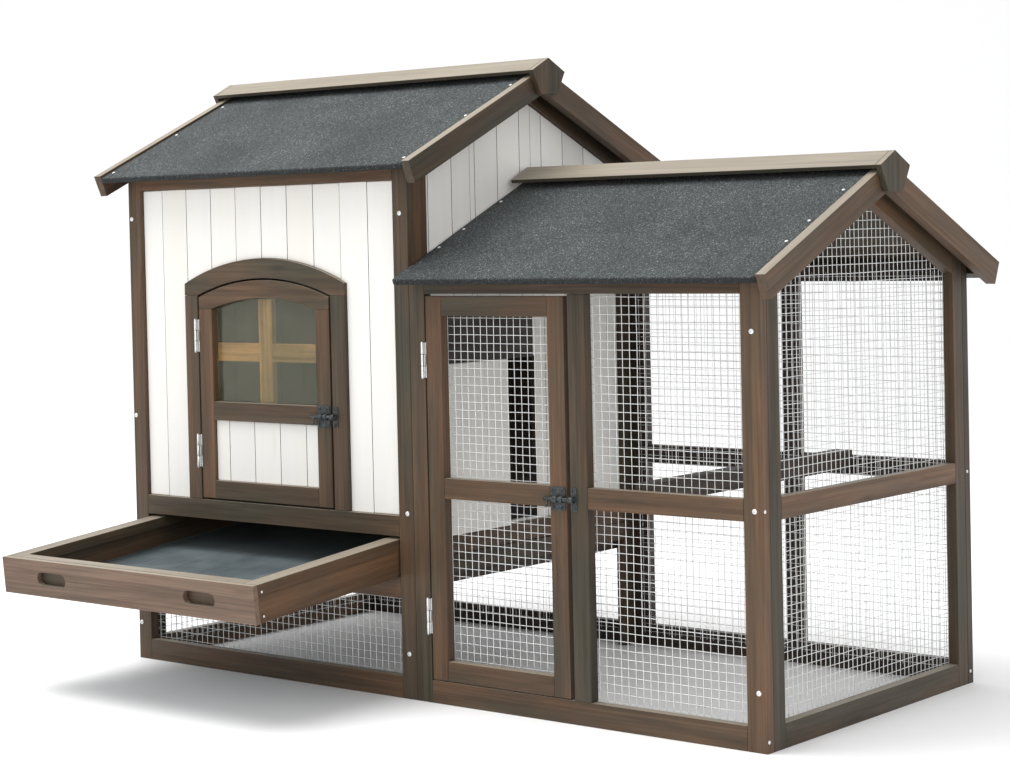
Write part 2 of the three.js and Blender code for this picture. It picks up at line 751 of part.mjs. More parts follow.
const throughBack = [backDepth[0] - MEMBER_THICKNESS, backDepth[1] + MEMBER_THICKNESS];
const runBackBays = [
  [runDoorway[0], RUN_MID_STILE_LEFT],
  [RUN_MID_STILE_RIGHT, postLeft],
];
const runBackOpenings = runBackBays.flatMap((bay) => [
  frontPanel(rectangle(...bay, BOTTOM_RAIL_HEIGHT, RUN_MID_RAIL_BOTTOM), ...throughBack),
  frontPanel(rectangle(...bay, RUN_MID_RAIL_TOP, RUN_TOP_RAIL_BOTTOM), ...throughBack),
]);
const runBackPanel = frontPanel(
  rectangle(runLeft, TOTAL_LENGTH, 0, RUN_POST_HEIGHT),
  ...backDepth,
);
addPiece("run_back_frame", cut(runBackPanel, ...runBackOpenings), frameWood);

const runMeshHeight = [BOTTOM_RAIL_HEIGHT - MESH_LAP, RUN_TOP_RAIL_BOTTOM + MESH_LAP];
const runSideMeshDepth = [runSideFace - MESH_THICKNESS - JOINT_GAP, runSideFace];
const runMeshEnd = runSideMeshDepth[0] - meshClearance / 2;
addPiece(
  "run_front_mesh",
  block([RUN_MID_STILE_LEFT + MESH_LAP, runMeshEnd], meshFront, runMeshHeight),
  galvanised,
);
addPiece(
  "run_back_mesh",
  block([runDoorway[0] - MESH_LAP, runMeshEnd], meshBack, runMeshHeight),
  galvanised,
);
const sideMeshOutline = gableOutline(
  meshStart,
  DEPTH - meshStart,
  runMeshHeight[0],
  runApex - MESH_LAP,
);
addPiece("run_side_mesh", sidePanel(sideMeshOutline, ...runSideMeshDepth), galvanised);

addPiece(
  "run_perch",
  block(
    [PERCH_MIDDLE - PERCH_SIZE / 2, PERCH_MIDDLE + PERCH_SIZE / 2],
    alongDepth,
    [PERCH_TOP - PERCH_SIZE, PERCH_TOP],
  ),
  frameWood,
);

// ---------- Run door ----------

const runDoorFootGap = 1.5;
const runDoorBottom = BOTTOM_RAIL_HEIGHT + runDoorFootGap;
const runDoorInner = [RUN_DOOR_LEFT + MEMBER_WIDTH, RUN_DOOR_RIGHT - MEMBER_WIDTH];
const runDoorFrame = withHoles(
  rectangle(RUN_DOOR_LEFT, RUN_DOOR_RIGHT, runDoorBottom, RUN_DOOR_TOP),
  rectangle(...runDoorInner, runDoorBottom + MEMBER_WIDTH, RUN_MID_RAIL_BOTTOM),
  rectangle(...runDoorInner, RUN_MID_RAIL_TOP, RUN_DOOR_TOP - MEMBER_WIDTH),
);
addPiece("run_door_frame", frontPanel(runDoorFrame, ...frontDepth), frameWood);
addPiece(
  "run_door_mesh",
  block(
    [runDoorInner[0] - MESH_LAP, runDoorInner[1] + MESH_LAP],
    meshFront,
    [runDoorBottom + MESH_LAP, RUN_DOOR_TOP - MESH_LAP],
  ),
  galvanised,
);

// ---------- Hinges ----------

// A butt hinge: the knuckle stands in front of the joint and one leaf lies in the joint, against the
// fixed side.
function addHinge(name, jointLeft, middle) {
  const leafLeft = jointLeft + JOINT_GAP;
  const leafRight = leafLeft + HINGE_LEAF_THICKNESS;
  const knuckleOverlap = 0.1; // past the leaf's far face
  const axisX = leafRight - HINGE_KNUCKLE_RADIUS + knuckleOverlap;
  const knuckle = new THREE.CylinderGeometry(
    HINGE_KNUCKLE_RADIUS,
    HINGE_KNUCKLE_RADIUS,
    HINGE_HEIGHT,
    24,
  )
    .rotateX(Math.PI / 2)
    .translate(axisX, -HINGE_PROUD, middle);
  const half = JOINT_GAP / 2;
  const leaf = block(
    [leafLeft - half, leafRight + half],
    [-HINGE_PROUD, HINGE_LEAF_DEPTH],
    [middle - HINGE_HEIGHT / 2, middle + HINGE_HEIGHT / 2],
  );
  addPiece(name, joined(knuckle, leaf), zinc);
}

const houseHingeHeights = { upper: 556.5, lower: 364.5 };
const runHingeHeights = { upper: 525, lower: 133.5 };
for (const place of ["upper", "lower"]) {
  addHinge("house_door_hinge_" + place, jambLeft, houseHingeHeights[place]);
  addHinge("run_door_hinge_" + place, runDoorway[0], runHingeHeights[place]);
}

// ---------- Latches ----------

const rodAlongX = (radius, left, right, height) =>
  new THREE.CylinderGeometry(radius, radius, right - left, 20)
    .rotateZ(Math.PI / 2)
    .translate((left + right) / 2, -BOLT_PROUD, height);

// A slide bolt: plate and guide on the door's stile, keeper across the gap. The bolt stands drawn just
// clear of the keeper, so the door can swing; sliding it to the right locks the door.
function addLatch(prefix, doorEdge, gap, height) {
  const boltTip = doorEdge + gap;
  const fullHeight = [height - LATCH_HEIGHT / 2, height + LATCH_HEIGHT / 2];
  const guideHeight = [height - LATCH_GUIDE_HALF_HEIGHT, height + LATCH_GUIDE_HALF_HEIGHT];
  const plateDepth = [-LATCH_PLATE_THICKNESS, 0];
  const guideDepth = [LATCH_GUIDE_FRONT, LATCH_GUIDE_BACK];
  const throughBore = 2 * BOLT_TAIL;
  const bore = rodAlongX(BOLT_BORE_RADIUS, doorEdge - throughBore, doorEdge + throughBore, height);

  const onDoor = (ends) => ends.map((distance) => doorEdge - distance);
  const plate = block(onDoor(LATCH_PLATE_ENDS), plateDepth, fullHeight);
  const guide = block(onDoor(LATCH_GUIDE_ENDS), guideDepth, guideHeight);
  addPiece(prefix + "_latch_plate", cut(joined(plate, guide), bore), blackMetal);

  const onPost = (ends) => ends.map((distance) => boltTip + distance);
  const keeperPlate = block(onPost(KEEPER_PLATE_ENDS), plateDepth, fullHeight);
  const keeperLoop = block(onPost(KEEPER_LOOP_ENDS), guideDepth, guideHeight);
  addPiece(prefix + "_latch_keeper", cut(joined(keeperPlate, keeperLoop), bore), blackMetal);

  const rod = rodAlongX(BOLT_RADIUS, doorEdge - BOLT_TAIL, boltTip, height);
  const knob = new THREE.CylinderGeometry(KNOB.radius, KNOB.tipRadius, KNOB.length, 16)
    .translate(0, -KNOB.length / 2, 0)
    .rotateX(KNOB_LEAN)
    .translate(doorEdge - KNOB.fromEdge, -BOLT_PROUD, height);
  addPiece(prefix + "_latch_bolt", joined(rod, knob), blackMetal);
}

const latchHeights = { house: 431, run: 328 };
addLatch("house_door", houseDoorRight, HOUSE_DOOR_RIGHT_GAP, latchHeights.house);
addLatch("run_door", RUN_DOOR_RIGHT, RUN_MID_STILE_LEFT - RUN_DOOR_RIGHT, latchHeights.run);

// ---------- Roofs ----------

const capSlopeFactor = Math.hypot(1, CAP_SLOPE);

function capOutline(apex) {
  const drop = CAP_THICKNESS * capSlopeFactor;
  const reach = CAP_HALF_WIDTH;
  const underReach = reach - (CAP_THICKNESS * CAP_SLOPE) / capSlopeFactor;
  return polygon([
    [ridgeY - reach, apex - CAP_SLOPE * reach],
    [ridgeY - underReach, apex - CAP_SLOPE * underReach - drop],
    [ridgeY, apex - drop],
    [ridgeY + underReach, apex - CAP_SLOPE * underReach - drop],
    [ridgeY + reach, apex - CAP_SLOPE * reach],
    [ridgeY, apex],
  ]);
}

// The plate widens from its foot to the cap's eaves and follows the cap boards up to the apex.
function endPlateOutline(apex) {
  const top = apex - END_PLATE_INSET;
  const shoulder = CAP_HALF_WIDTH - END_PLATE_INSET;
  return polygon([
    [ridgeY - END_PLATE_FOOT, apex - END_PLATE_HEIGHT],
    [ridgeY + END_PLATE_FOOT, apex - END_PLATE_HEIGHT],
    [ridgeY + shoulder, top - CAP_SLOPE * shoulder],
    [ridgeY, top],
    [ridgeY - shoulder, top - CAP_SLOPE * shoulder],
  ]);
}

// Two cap boards from end to end, with an end plate outside each given end.
function addRidgeCap(prefix, feltRidge, [left, right], { plateLeft, plateRight }) {
  const apex = feltRidge + CAP_RISE;
  const boardsLeft = plateLeft ? left - CAP_IN_PLATE : left;
  const boardsRight = plateRight ? right + CAP_IN_PLATE : right;
  const boards = sidePanel(capOutline(apex), boardsLeft, boardsRight);
  const plates = [];
  if (plateLeft) {
    plates.push(sidePanel(endPlateOutline(apex), left - END_PLATE_THICKNESS, left));
  }
  if (plateRight) {
    plates.push(sidePanel(endPlateOutline(apex), right, right + END_PLATE_THICKNESS));
  }
  addPiece(`${prefix}_ridge_cap`, joined(boards, ...plates), capWood);
}

const SIDES = { front: 1, back: -1 };

// Felted sheets and a pair of barge boards at each given end.
function addSlopes(prefix, feltRidge, sheetEnds, bargeEnds) {
  for (const [sideName, side] of Object.entries(SIDES)) {
    const sheet = slopeSection(feltRidge, -ROOF_OVERHANG, SHEET_THICKNESS, side);
    addPiece(`${prefix}_roof_${sideName}`, sidePanel(sheet, ...sheetEnds), felt);
    const barge = slopeSection(
      feltRidge + BARGE_STAND_UP,
      -ROOF_OVERHANG - 1,
      BARGE_DEPTH,
      side,
    );
    for (const [endName, left] of Object.entries(bargeEnds)) {
      const ends = [left, left + BARGE_THICKNESS];
      addPiece(`${prefix}_barge_${sideName}_${endName}`, sidePanel(barge, ...ends), frameWood);
    }
  }
}

const houseRoofEnds = [-HOUSE_ROOF_END, HOUSE_LENGTH + HOUSE_ROOF_END];
const runRoofEnds = [runLeft + 1, TOTAL_LENGTH + RUN_ROOF_END];
const rightBarge = (ends) => ends[1] - BARGE_THICKNESS;

addSlopes(
  "house",
  HOUSE_FELT_RIDGE,
  [houseRoofEnds[0] + BARGE_THICKNESS, rightBarge(houseRoofEnds)],
  { left: houseRoofEnds[0], right: rightBarge(houseRoofEnds) },
);
addRidgeCap("house", HOUSE_FELT_RIDGE, houseRoofEnds, { plateLeft: true, plateRight: true });
addSlopes("run", RUN_FELT_RIDGE, [runRoofEnds[0], rightBarge(runRoofEnds)], {
  right: rightBarge(runRoofEnds),
});
addRidgeCap("run", RUN_FELT_RIDGE, runRoofEnds, { plateLeft: false, plateRight: true });

// ---------- Origin ----------

// The middle of the bounding box on the ground, with the tray pulled out as it stands here.
const box = new THREE.Box3().setFromObject(coop, true);
coop.position.set(-(box.min.x + box.max.x) / 2, -(box.min.y + box.max.y) / 2, 0);
coop.updateMatrixWorld(true);

export default coop;
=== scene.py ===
"""Chicken coop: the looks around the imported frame.

Metres, +Z up. Timber, boards, felt, welded wire and metalwork are built here as real geometry. Each piece
stands for the CAD node that it replaces and rides on that node's body. Places are measured from CORNER,
the house's front left corner on the ground: x to the right, y to the back, z up.
"""

import json
import math
import random

import bmesh
import bpy
from mathutils import Matrix, Vector, noise


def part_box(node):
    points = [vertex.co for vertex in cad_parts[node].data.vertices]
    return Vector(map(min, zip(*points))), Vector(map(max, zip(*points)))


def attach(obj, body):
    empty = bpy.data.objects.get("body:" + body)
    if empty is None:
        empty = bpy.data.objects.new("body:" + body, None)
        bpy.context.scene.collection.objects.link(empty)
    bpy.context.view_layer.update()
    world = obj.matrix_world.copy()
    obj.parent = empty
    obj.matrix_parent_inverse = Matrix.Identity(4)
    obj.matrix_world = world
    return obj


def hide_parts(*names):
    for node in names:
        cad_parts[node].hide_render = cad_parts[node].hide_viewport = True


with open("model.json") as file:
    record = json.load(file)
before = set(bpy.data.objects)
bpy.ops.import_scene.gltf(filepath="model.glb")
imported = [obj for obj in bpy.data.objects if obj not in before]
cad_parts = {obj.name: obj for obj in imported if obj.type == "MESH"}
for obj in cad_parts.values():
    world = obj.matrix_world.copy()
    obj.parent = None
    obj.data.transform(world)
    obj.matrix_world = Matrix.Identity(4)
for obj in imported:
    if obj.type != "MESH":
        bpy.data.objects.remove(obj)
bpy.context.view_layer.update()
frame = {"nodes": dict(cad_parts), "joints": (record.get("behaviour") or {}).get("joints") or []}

# ---------------------------------------------------------------- driving sizes

MM = 0.001
HALF_GAP = 0.15 * MM  # the frame's blocks stand this far inside their nominal faces
FORWARD, RIGHTWARD, BACKWARD, LEFTWARD = (0, -1, 0), (1, 0, 0), (0, 1, 0), (-1, 0, 0)

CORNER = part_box("house_post_left")[0] - Vector((HALF_GAP, HALF_GAP, 0))

MEMBER = 30 * MM  # frame timber is 30 x 17
THICK = 17 * MM
EDGE = 0.9 * MM  # rounding of sawn timber's edges
BOARD_PITCH = 58.2 * MM
BOARD_EDGE = 1.5 * MM  # makes the V groove between two boards
ROOF_SLOPE = 0.45
ROOF_ANGLE = math.atan(ROOF_SLOPE)

WIRE_PITCH = 12.7 * MM
WIRE_RADIUS = 0.52 * MM

SCREW_RADIUS = 3.8 * MM
NAIL_RADIUS = 2.6 * MM
SHARP_ANGLE = 0.3  # radians between two faces, past which their edge is rounded


def at(x, y, z):
    """A point given from CORNER, in the row frame."""
    return CORNER + Vector((x, y, z))


def span(node):
    """A CAD node's lowest and highest corners, measured from CORNER."""
    low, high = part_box(node)
    return low - CORNER, high - CORNER


HOUSE_RIGHT = span("house_post_right")[1].x + HALF_GAP
DEPTH = span("house_back_frame")[1].y + HALF_GAP
RUN_RIGHT = span("run_corner_post")[1].x + HALF_GAP
RIDGE_Y = DEPTH / 2
BACK_INNER = DEPTH - THICK

# ---------------------------------------------------------------- solids and pieces

AXIS_ORDER = {"x": (0, 1, 2), "y": (1, 0, 2), "z": (2, 0, 1)}


def grain_turn_for(axis):
    """Turns local coordinates so that the first one runs along the grain."""
    rows = [[0.0] * 3 for _ in range(3)]
    for row, column in enumerate(AXIS_ORDER[axis]):
        rows[row][column] = 1.0
    return Matrix(rows)


def turned_grain(angle):
    """For outlines whose grain runs at an angle in their own first two coordinates."""
    c, s = math.cos(angle), math.sin(angle)
    return Matrix(((c, s, 0), (-s, c, 0), (0, 0, 1)))


class Piece:
    """Solids gathered into one object. Each vertex carries its place along and across the grain."""

    def __init__(self, name, body, slot, material, replaces=()):
        self.name = name
        self.body = body
        self.slot = slot
        self.material = material
        self.nodes = replaces
        self.random = random.Random(name)
        self.points, self.faces, self.smooth, self.grain, self.tone = [], [], [], [], []
        self.lining = None

    def line(self, material, *directions):
        """Gives the faces that look in any of these directions another material."""
        self.lining = (material, [Vector(direction) for direction in directions])

    def add(self, bm, place=None, grain_turn=None, smooth=False, shade=None):
        """shade gives a vertex's tone from its own place; without it the whole solid has one tone."""
        place = place or Matrix.Identity(4)
        grain_turn = grain_turn or Matrix.Identity(3)
        start = len(self.points)
        shift = Vector((self.random.uniform(0, 9) for _ in range(3)))
        tone = self.random.random()
        bm.verts.index_update()
        for vertex in bm.verts:
            self.points.append(place @ vertex.co)
            self.grain.append(grain_turn @ vertex.co + shift)
            self.tone.append(shade(vertex.co) if shade else tone)
        mirrored = place.to_3x3().determinant() < 0
        for face in bm.faces:
            corners = [start + vertex.index for vertex in face.verts]
            self.faces.append(corners[::-1] if mirrored else corners)
            self.smooth.append(smooth or face.smooth)
        bm.free()

    def build(self):
        mesh = bpy.data.meshes.new(self.name)
        mesh.from_pydata(self.points, [], self.faces)
        grain = mesh.attributes.new("grain", "FLOAT_VECTOR", "POINT")
        grain.data.foreach_set("vector", [value for point in self.grain for value in point])
        tone = mesh.attributes.new("tone", "FLOAT", "POINT")
        tone.data.foreach_set("value", self.tone)
        mesh.polygons.foreach_set("use_smooth", self.smooth)
        mesh.materials.append(self.material)
        mesh.update()
        if self.lining:
            mesh.materials.append(self.lining[0])
            for face in mesh.polygons:
                if any(face.normal.dot(direction) > 0.8 for direction in self.lining[1]):
                    face.material_index = 1
        made = in_scene(self.name, mesh)
        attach(made, self.body)
        if self.nodes:
            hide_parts(*self.nodes)
        return made


def in_scene(name, data):
    """A new object, linked to the scene."""
    made = bpy.data.objects.new(name, data)
    bpy.context.scene.collection.objects.link(made)
    return made


def rounded(bm, edge):
    """Rounds every edge of a solid that isn't flat."""
    sharp = [e for e in bm.edges if len(e.link_faces) == 2 and e.calc_face_angle() > SHARP_ANGLE]
    bmesh.ops.bevel(
        bm, geom=sharp, offset=edge, segments=2, profile=0.6, affect="EDGES", clamp_overlap=True
    )
    return bm


def extruded(bm, depth, edge):
    """Raises flat faces along w to a solid, with rounded edges."""
    raised = bmesh.ops.extrude_face_region(bm, geom=list(bm.faces))
    top = [item for item in raised["geom"] if isinstance(item, bmesh.types.BMVert)]
    bmesh.ops.translate(bm, verts=top, vec=(0, 0, depth))
    bmesh.ops.recalc_face_normals(bm, faces=bm.faces)
    return rounded(bm, edge)


def prism(outline, depth, edge=EDGE):
    """An outline in (u, v) extruded along w, with rounded edges."""
    bm = bmesh.new()
    bm.faces.new([bm.verts.new((u, v, 0)) for u, v in outline])
    return extruded(bm, depth, edge)


def rectangle(width, height):
    return [(0, 0), (width, 0), (width, height), (0, height)]


def add_box(piece, low, high, grain, edge=EDGE):
    """A block between two corners measured from CORNER, with its grain along an axis."""
    low, high = Vector(low), Vector(high)
    size = high - low
    bm = prism(rectangle(size.x, size.y), size.z, edge)
    piece.add(bm, Matrix.Translation(at(*low)), grain_turn_for(grain))


# Planes that an outline is drawn in: columns for u, v and w.
FRONTAL = Matrix(((1, 0, 0, 0), (0, 0, 1, 0), (0, 1, 0, 0), (0, 0, 0, 1)))
SIDEWAYS = Matrix(((0, 0, 1, 0), (1, 0, 0, 0), (0, 1, 0, 0), (0, 0, 0, 1)))


def front_plane(y):
    """u to the right, v up, w to the back, from the plane at this y."""
    return Matrix.Translation(at(0, y, 0)) @ FRONTAL


def side_plane(x):
    """u to the back, v up, w to the right, from the plane at this x."""
    return Matrix.Translation(at(x, 0, 0)) @ SIDEWAYS


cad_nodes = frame["nodes"]


def whittle(node, grain_turn):
    """Replaces a CAD node with the same solid, its edges rounded and its grain laid."""
    bm = bmesh.new()
    bm.from_mesh(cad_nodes[node].data)
    bmesh.ops.remove_doubles(bm, verts=bm.verts, dist=0.01 * MM)
    bmesh.ops.dissolve_limit(bm, angle_limit=0.01, verts=bm.verts, edges=bm.edges)
    bmesh.ops.recalc_face_normals(bm, faces=bm.faces)
    piece = Piece(node + "_timber", "coop", "frame_wood", WOOD, [node])
    piece.add(rounded(bm, EDGE), None, grain_turn)
    return piece.build()


def round_steps(steps):
    """Cosine and sine at equal steps round a circle."""
    turns = [2 * math.pi * step / steps for step in range(steps)]
    return [(math.cos(turn), math.sin(turn)) for turn in turns]


def join_rings(bm, rings, smooth=False):
    """Faces between each ring of vertices and the next. A ring can be a single vertex."""
    for ring, following in zip(rings, rings[1:]):
        steps = max(len(ring), len(following))
        for step in range(steps):
            after = (step + 1) % steps
            corners = [ring[step % len(ring)], ring[after % len(ring)]]
            corners += [following[after % len(following)], following[step % len(following)]]
            face = bm.faces.new(list(dict.fromkeys(corners)))
            face.smooth = smooth


def tube_solid(points, radius, sides, across):
    """A round rod through points, closed at both ends."""
    bm = bmesh.new()
    other = (points[-1] - points[0]).normalized().cross(across)
    rings = []
    for point in points:
        outwards = (across * c + other * s for c, s in round_steps(sides))
        rings.append([bm.verts.new(point + radius * direction) for direction in outwards])
    join_rings(bm, rings, smooth=True)
    bm.faces.new(rings[0][::-1])
    bm.faces.new(rings[-1])
    return bm


def lathe_solid(profile, steps=20):
    """A solid of revolution about w: profile is (radius, w) from the axis at one end to the other."""
    bm = bmesh.new()
    rings = []
    for radius, height in profile:
        spokes = round_steps(steps) if radius else [(0, 0)]
        rings.append([bm.verts.new((radius * c, radius * s, height)) for c, s in spokes])
    join_rings(bm, rings, smooth=True)
    bmesh.ops.recalc_face_normals(bm, faces=bm.faces)
    return bm


# ---------------------------------------------------------------- materials


class Surface:
    """A material's node tree, with short ways to add to it."""

    def __init__(self, name, roughness, metallic=0.0):
        self.material = bpy.data.materials.new(name)
        self.material.use_nodes = True
        self.tree = self.material.node_tree
        self.shader = self.tree.nodes["Principled BSDF"]
        self.shader.inputs["Roughness"].default_value = roughness
        self.shader.inputs["Metallic"].default_value = metallic

    def put(self, kind, sources=None, **settings):
        """Adds a node, sets its settings and feeds its inputs with values or other nodes' outputs."""
        made = self.tree.nodes.new(kind)
        for key, value in settings.items():
            setattr(made, key, value)
        for key, value in (sources or {}).items():
            if isinstance(value, bpy.types.NodeSocket):
                self.tree.links.new(value, made.inputs[key])
            else:
                made.inputs[key].default_value = value
        return made

    def grain(self, scale):
        """The grain coordinates, each stretched by its own scale (per metre)."""
        attribute = self.put("ShaderNodeAttribute", attribute_name="grain")
        sources = {"Vector": attribute.outputs["Vector"], "Scale": scale}
        return self.put("ShaderNodeMapping", sources).outputs["Vector"]

    def tone(self):
        return self.put("ShaderNodeAttribute", attribute_name="tone").outputs["Fac"]

    def noise(self, vector, detail=4.0, roughness=0.55, distortion=0.0):
        sources = {
            "Vector": vector,
            "Scale": 1.0,
            "Detail": detail,
            "Roughness": roughness,
            "Distortion": distortion,
        }
        return self.put("ShaderNodeTexNoise", sources).outputs["Fac"]

    def ramp(self, factor, stops):
        made = self.put("ShaderNodeValToRGB", {"Fac": factor})
        elements = made.color_ramp.elements
        while len(elements) < len(stops):
            elements.new(0.5)
        for element, (position, color) in zip(elements, stops):
            element.position = position
            element.color = (*color, 1.0) if isinstance(color, tuple) else (color,) * 3 + (1.0,)
        return made.outputs["Color"]

    def mix(self, factor, first, second, blend="MIX"):
        made = self.put("ShaderNodeMix", data_type="RGBA", blend_type=blend)
        for socket, value in ((made.inputs[0], factor), (made.inputs[6], first), (made.inputs[7], second)):
            if isinstance(value, bpy.types.NodeSocket):
                self.tree.links.new(value, socket)
            elif isinstance(value, tuple):
                socket.default_value = (*value, 1.0)
            else:
                socket.default_value = value
        return made.outputs[2]

    def maths(self, operation, first, second):
        return self.put("ShaderNodeMath", {0: first, 1: second}, operation=operation).outputs[0]

    def weighted(self, first, first_weight, second, second_weight):
        """The sum of two outputs, each times its weight."""
        parts = ((first, first_weight), (second, second_weight))
        return self.maths("ADD", *(self.maths("MULTIPLY", value, weight) for value, weight in parts))

    def shaded(self, color, factor, stops):
        """A colour times a ramp of greys."""
        return self.mix(1.0, color, self.ramp(factor, stops), "MULTIPLY")

    def cells(self, vector, output, scale=1.0):
        """Voronoi cells: the distance to each cell's middle, or the cell's own colour."""
        sources = {"Vector": vector, "Scale": scale, "Randomness": 1.0}
        return self.put("ShaderNodeTexVoronoi", sources).outputs[output]

    def channel(self, color, index):
        return self.put("ShaderNodeSeparateColor", {"Color": color}).outputs[index]

    def relief(self, height, distance, strength=1.0):
        sources = {"Height": height, "Distance": distance, "Strength": strength}
        bump = self.put("ShaderNodeBump", sources)
        self.tree.links.new(bump.outputs["Normal"], self.shader.inputs["Normal"])

    def color(self, value):
        if isinstance(value, bpy.types.NodeSocket):
            self.tree.links.new(value, self.shader.inputs["Base Color"])
        else:
            self.shader.inputs["Base Color"].default_value = (*value, 1.0)

    def upward(self, start, end):
        """0 on upright faces and 1 on faces that look up."""
        normal = self.put("ShaderNodeNewGeometry").outputs["True Normal"]
        height = self.put("ShaderNodeSeparateXYZ", {"Vector": normal}).outputs["Z"]
        return self.ramp(height, [(start, 0.0), (end, 1.0)])

    def roughness(self, value):
        self.tree.links.new(value, self.shader.inputs["Roughness"])


def scaled_color(color, factor):
    return tuple(channel * factor for channel in color)


def stained_wood(name, base, warm, top=None, contrast=1.0, roughness=0.5):
    """Softwood under a brown stain: long streaks, growth rings, pores, knots and patches of a warmer tone.
    Faces that look up are lightened towards the colour named top: a painted highlight of the overhead
    light."""
    s = Surface(name, roughness)
    s.shader.inputs["Specular IOR Level"].default_value = 0.32
    streaks = s.noise(s.grain((2.6, 46.0, 46.0)), 6.0, 0.62, 0.6)
    rings = s.noise(s.grain((0.9, 150.0, 90.0)), 3.0, 0.5, 1.2)
    pores = s.noise(s.grain((22.0, 900.0, 900.0)), 2.0, 0.6)
    patches = s.noise(s.grain((3.4, 16.0, 16.0)), 4.0, 0.55, 0.3)
    figure = s.weighted(streaks, 0.65, rings, 0.35)
    low, high = 1.0 - 0.45 * contrast, 1.0 + 0.5 * contrast
    cool, warmer = (
        s.ramp(figure, [(0.36, scaled_color(stain, low)), (0.5, stain), (0.66, scaled_color(stain, high))])
        for stain in (base, warm)
    )
    lean = s.maths("ADD", patches, s.maths("MULTIPLY", s.tone(), 0.22))
    mixed = s.mix(s.ramp(lean, [(0.44, 0.0), (0.8, 1.0)]), cool, warmer)
    knots = s.cells(s.grain((3.2, 15.0, 15.0)), "Distance")
    knotted = s.shaded(mixed, knots, [(0.03, 0.66), (0.07, 0.88), (0.1, 1.0)])
    fine = s.noise(s.grain((7.0, 330.0, 330.0)), 4.0, 0.65, 0.3)
    fibrous = s.shaded(knotted, fine, [(0.34, 0.8), (0.66, 1.16)])
    toned = s.shaded(fibrous, s.tone(), [(0.0, 0.88), (1.0, 1.1)])
    if top:
        # Painted highlight: faces that look up lighten towards the top colour, as the overhead light makes
        # them.
        lit_top = s.ramp(figure, [(0.36, scaled_color(top, 0.72)), (0.6, top)])
        toned = s.mix(s.upward(0.6, 0.9), toned, s.mix(0.25, lit_top, toned))
    s.color(toned)
    s.relief(s.weighted(figure, 0.7, pores, 0.5), 0.35 * MM, 0.8)
    s.roughness(s.ramp(streaks, [(0.3, roughness + 0.12), (0.7, roughness - 0.08)]))
    return s.material


def painted_boards(name, base):
    """White paint over softwood: brushed film, raised grain and a faint yellowing that follows it."""
    s = Surface(name, 0.5)
    streaks = s.noise(s.grain((3.0, 60.0, 60.0)), 6.0, 0.6, 0.4)
    fibres = s.noise(s.grain((14.0, 700.0, 700.0)), 3.0, 0.6)
    clouds = s.noise(s.grain((2.0, 9.0, 9.0)), 2.0, 0.5)
    tinted = s.ramp(streaks, [(0.3, scaled_color(base, 0.965)), (0.7, base)])
    cream = (base[0] * 0.985, base[1] * 0.96, base[2] * 0.91)
    warmed = s.mix(s.ramp(clouds, [(0.45, 0.0), (0.8, 0.75)]), tinted, cream)
    knots = s.cells(s.grain((2.4, 13.0, 13.0)), "Distance")
    knotted = s.shaded(warmed, knots, [(0.03, 0.9), (0.09, 1.0)])
    # Tone 0, given to the tongues, darkens them to 0.62: painted shade at the bottom of the seams. Other
    # tones vary each board at random.
    s.color(s.shaded(knotted, s.tone(), [(0.0, 0.62), (0.02, 0.955), (1.0, 1.0)]))
    s.relief(s.weighted(streaks, 0.6, fibres, 0.4), 0.25 * MM, 0.6)
    return s.material


def mineral_felt(name):
    """Bitumen felt under crushed slate: grit of about a millimetre, each grain its own grey."""
    s = Surface(name, 0.92)
    place = s.grain((1.0, 1.0, 1.0))
    fine = s.ramp(
        s.channel(s.cells(place, "Color", 850.0), 0),
        [
            (0.0, (0.012, 0.016, 0.018)),
            (0.45, (0.029, 0.037, 0.039)),
            (0.8, (0.062, 0.073, 0.075)),
            (0.93, (0.12, 0.132, 0.128)),
            (1.0, (0.26, 0.26, 0.24)),
        ],
    )
    lumps = s.channel(s.cells(place, "Color", 400.0), 1)
    clouds = s.noise(s.grain((9.0, 9.0, 9.0)), 4.0, 0.6)
    speckled = s.shaded(fine, lumps, [(0.0, 0.72), (0.7, 1.05), (1.0, 1.5)])
    worn = s.shaded(speckled, clouds, [(0.3, 0.86), (0.7, 1.12)])
    # Tone 1, on the felt turned down over the eave, darkens it: partly bare bitumen, partly painted shade
    # on the upright edge.
    s.color(s.shaded(worn, s.tone(), [(0.0, 1.0), (1.0, 0.34)]))
    s.relief(s.cells(place, "Distance", 850.0), 0.9 * MM, 0.9)
    return s.material


def galvanised_steel(name, base, roughness, metallic):
    """Zinc-coated steel with a dull spangle."""
    s = Surface(name, roughness, metallic)
    place = s.grain((1.0, 1.0, 1.0))
    spangle = s.channel(s.cells(place, "Color", 300.0), 0)
    s.color(s.ramp(spangle, [(0.0, scaled_color(base, 0.84)), (1.0, base)]))
    s.relief(s.noise(s.grain((900.0, 900.0, 900.0)), 2.0), 0.05 * MM, 0.5)
    return s.material


def black_lacquer(name):
    """Black lacquered steel, worn brighter on its high spots."""
    s = Surface(name, 0.36, 0.3)
    wear = s.noise(s.grain((260.0, 260.0, 260.0)), 4.0, 0.6)
    s.color(s.ramp(wear, [(0.4, (0.022, 0.026, 0.027)), (0.75, (0.085, 0.096, 0.098))]))
    s.relief(wear, 0.08 * MM, 0.6)
    return s.material


def tray_metal(name):
    """Blue-grey sheet metal with rolled-in streaks, dust and smears."""
    s = Surface(name, 0.42, 0.35)
    rolled = s.noise(s.grain((2.0, 160.0, 160.0)), 3.0, 0.6)
    dust = s.noise(s.grain((7.0, 7.0, 7.0)), 6.0, 0.65, 0.4)
    metal = s.ramp(rolled, [(0.3, (0.095, 0.12, 0.132)), (0.7, (0.14, 0.172, 0.185))])
    s.color(s.mix(s.ramp(dust, [(0.45, 0.0), (0.8, 0.5)]), metal, (0.25, 0.27, 0.27)))
    s.roughness(s.ramp(dust, [(0.35, 0.36), (0.7, 0.6)]))
    s.relief(rolled, 0.04 * MM, 0.5)
    return s.material


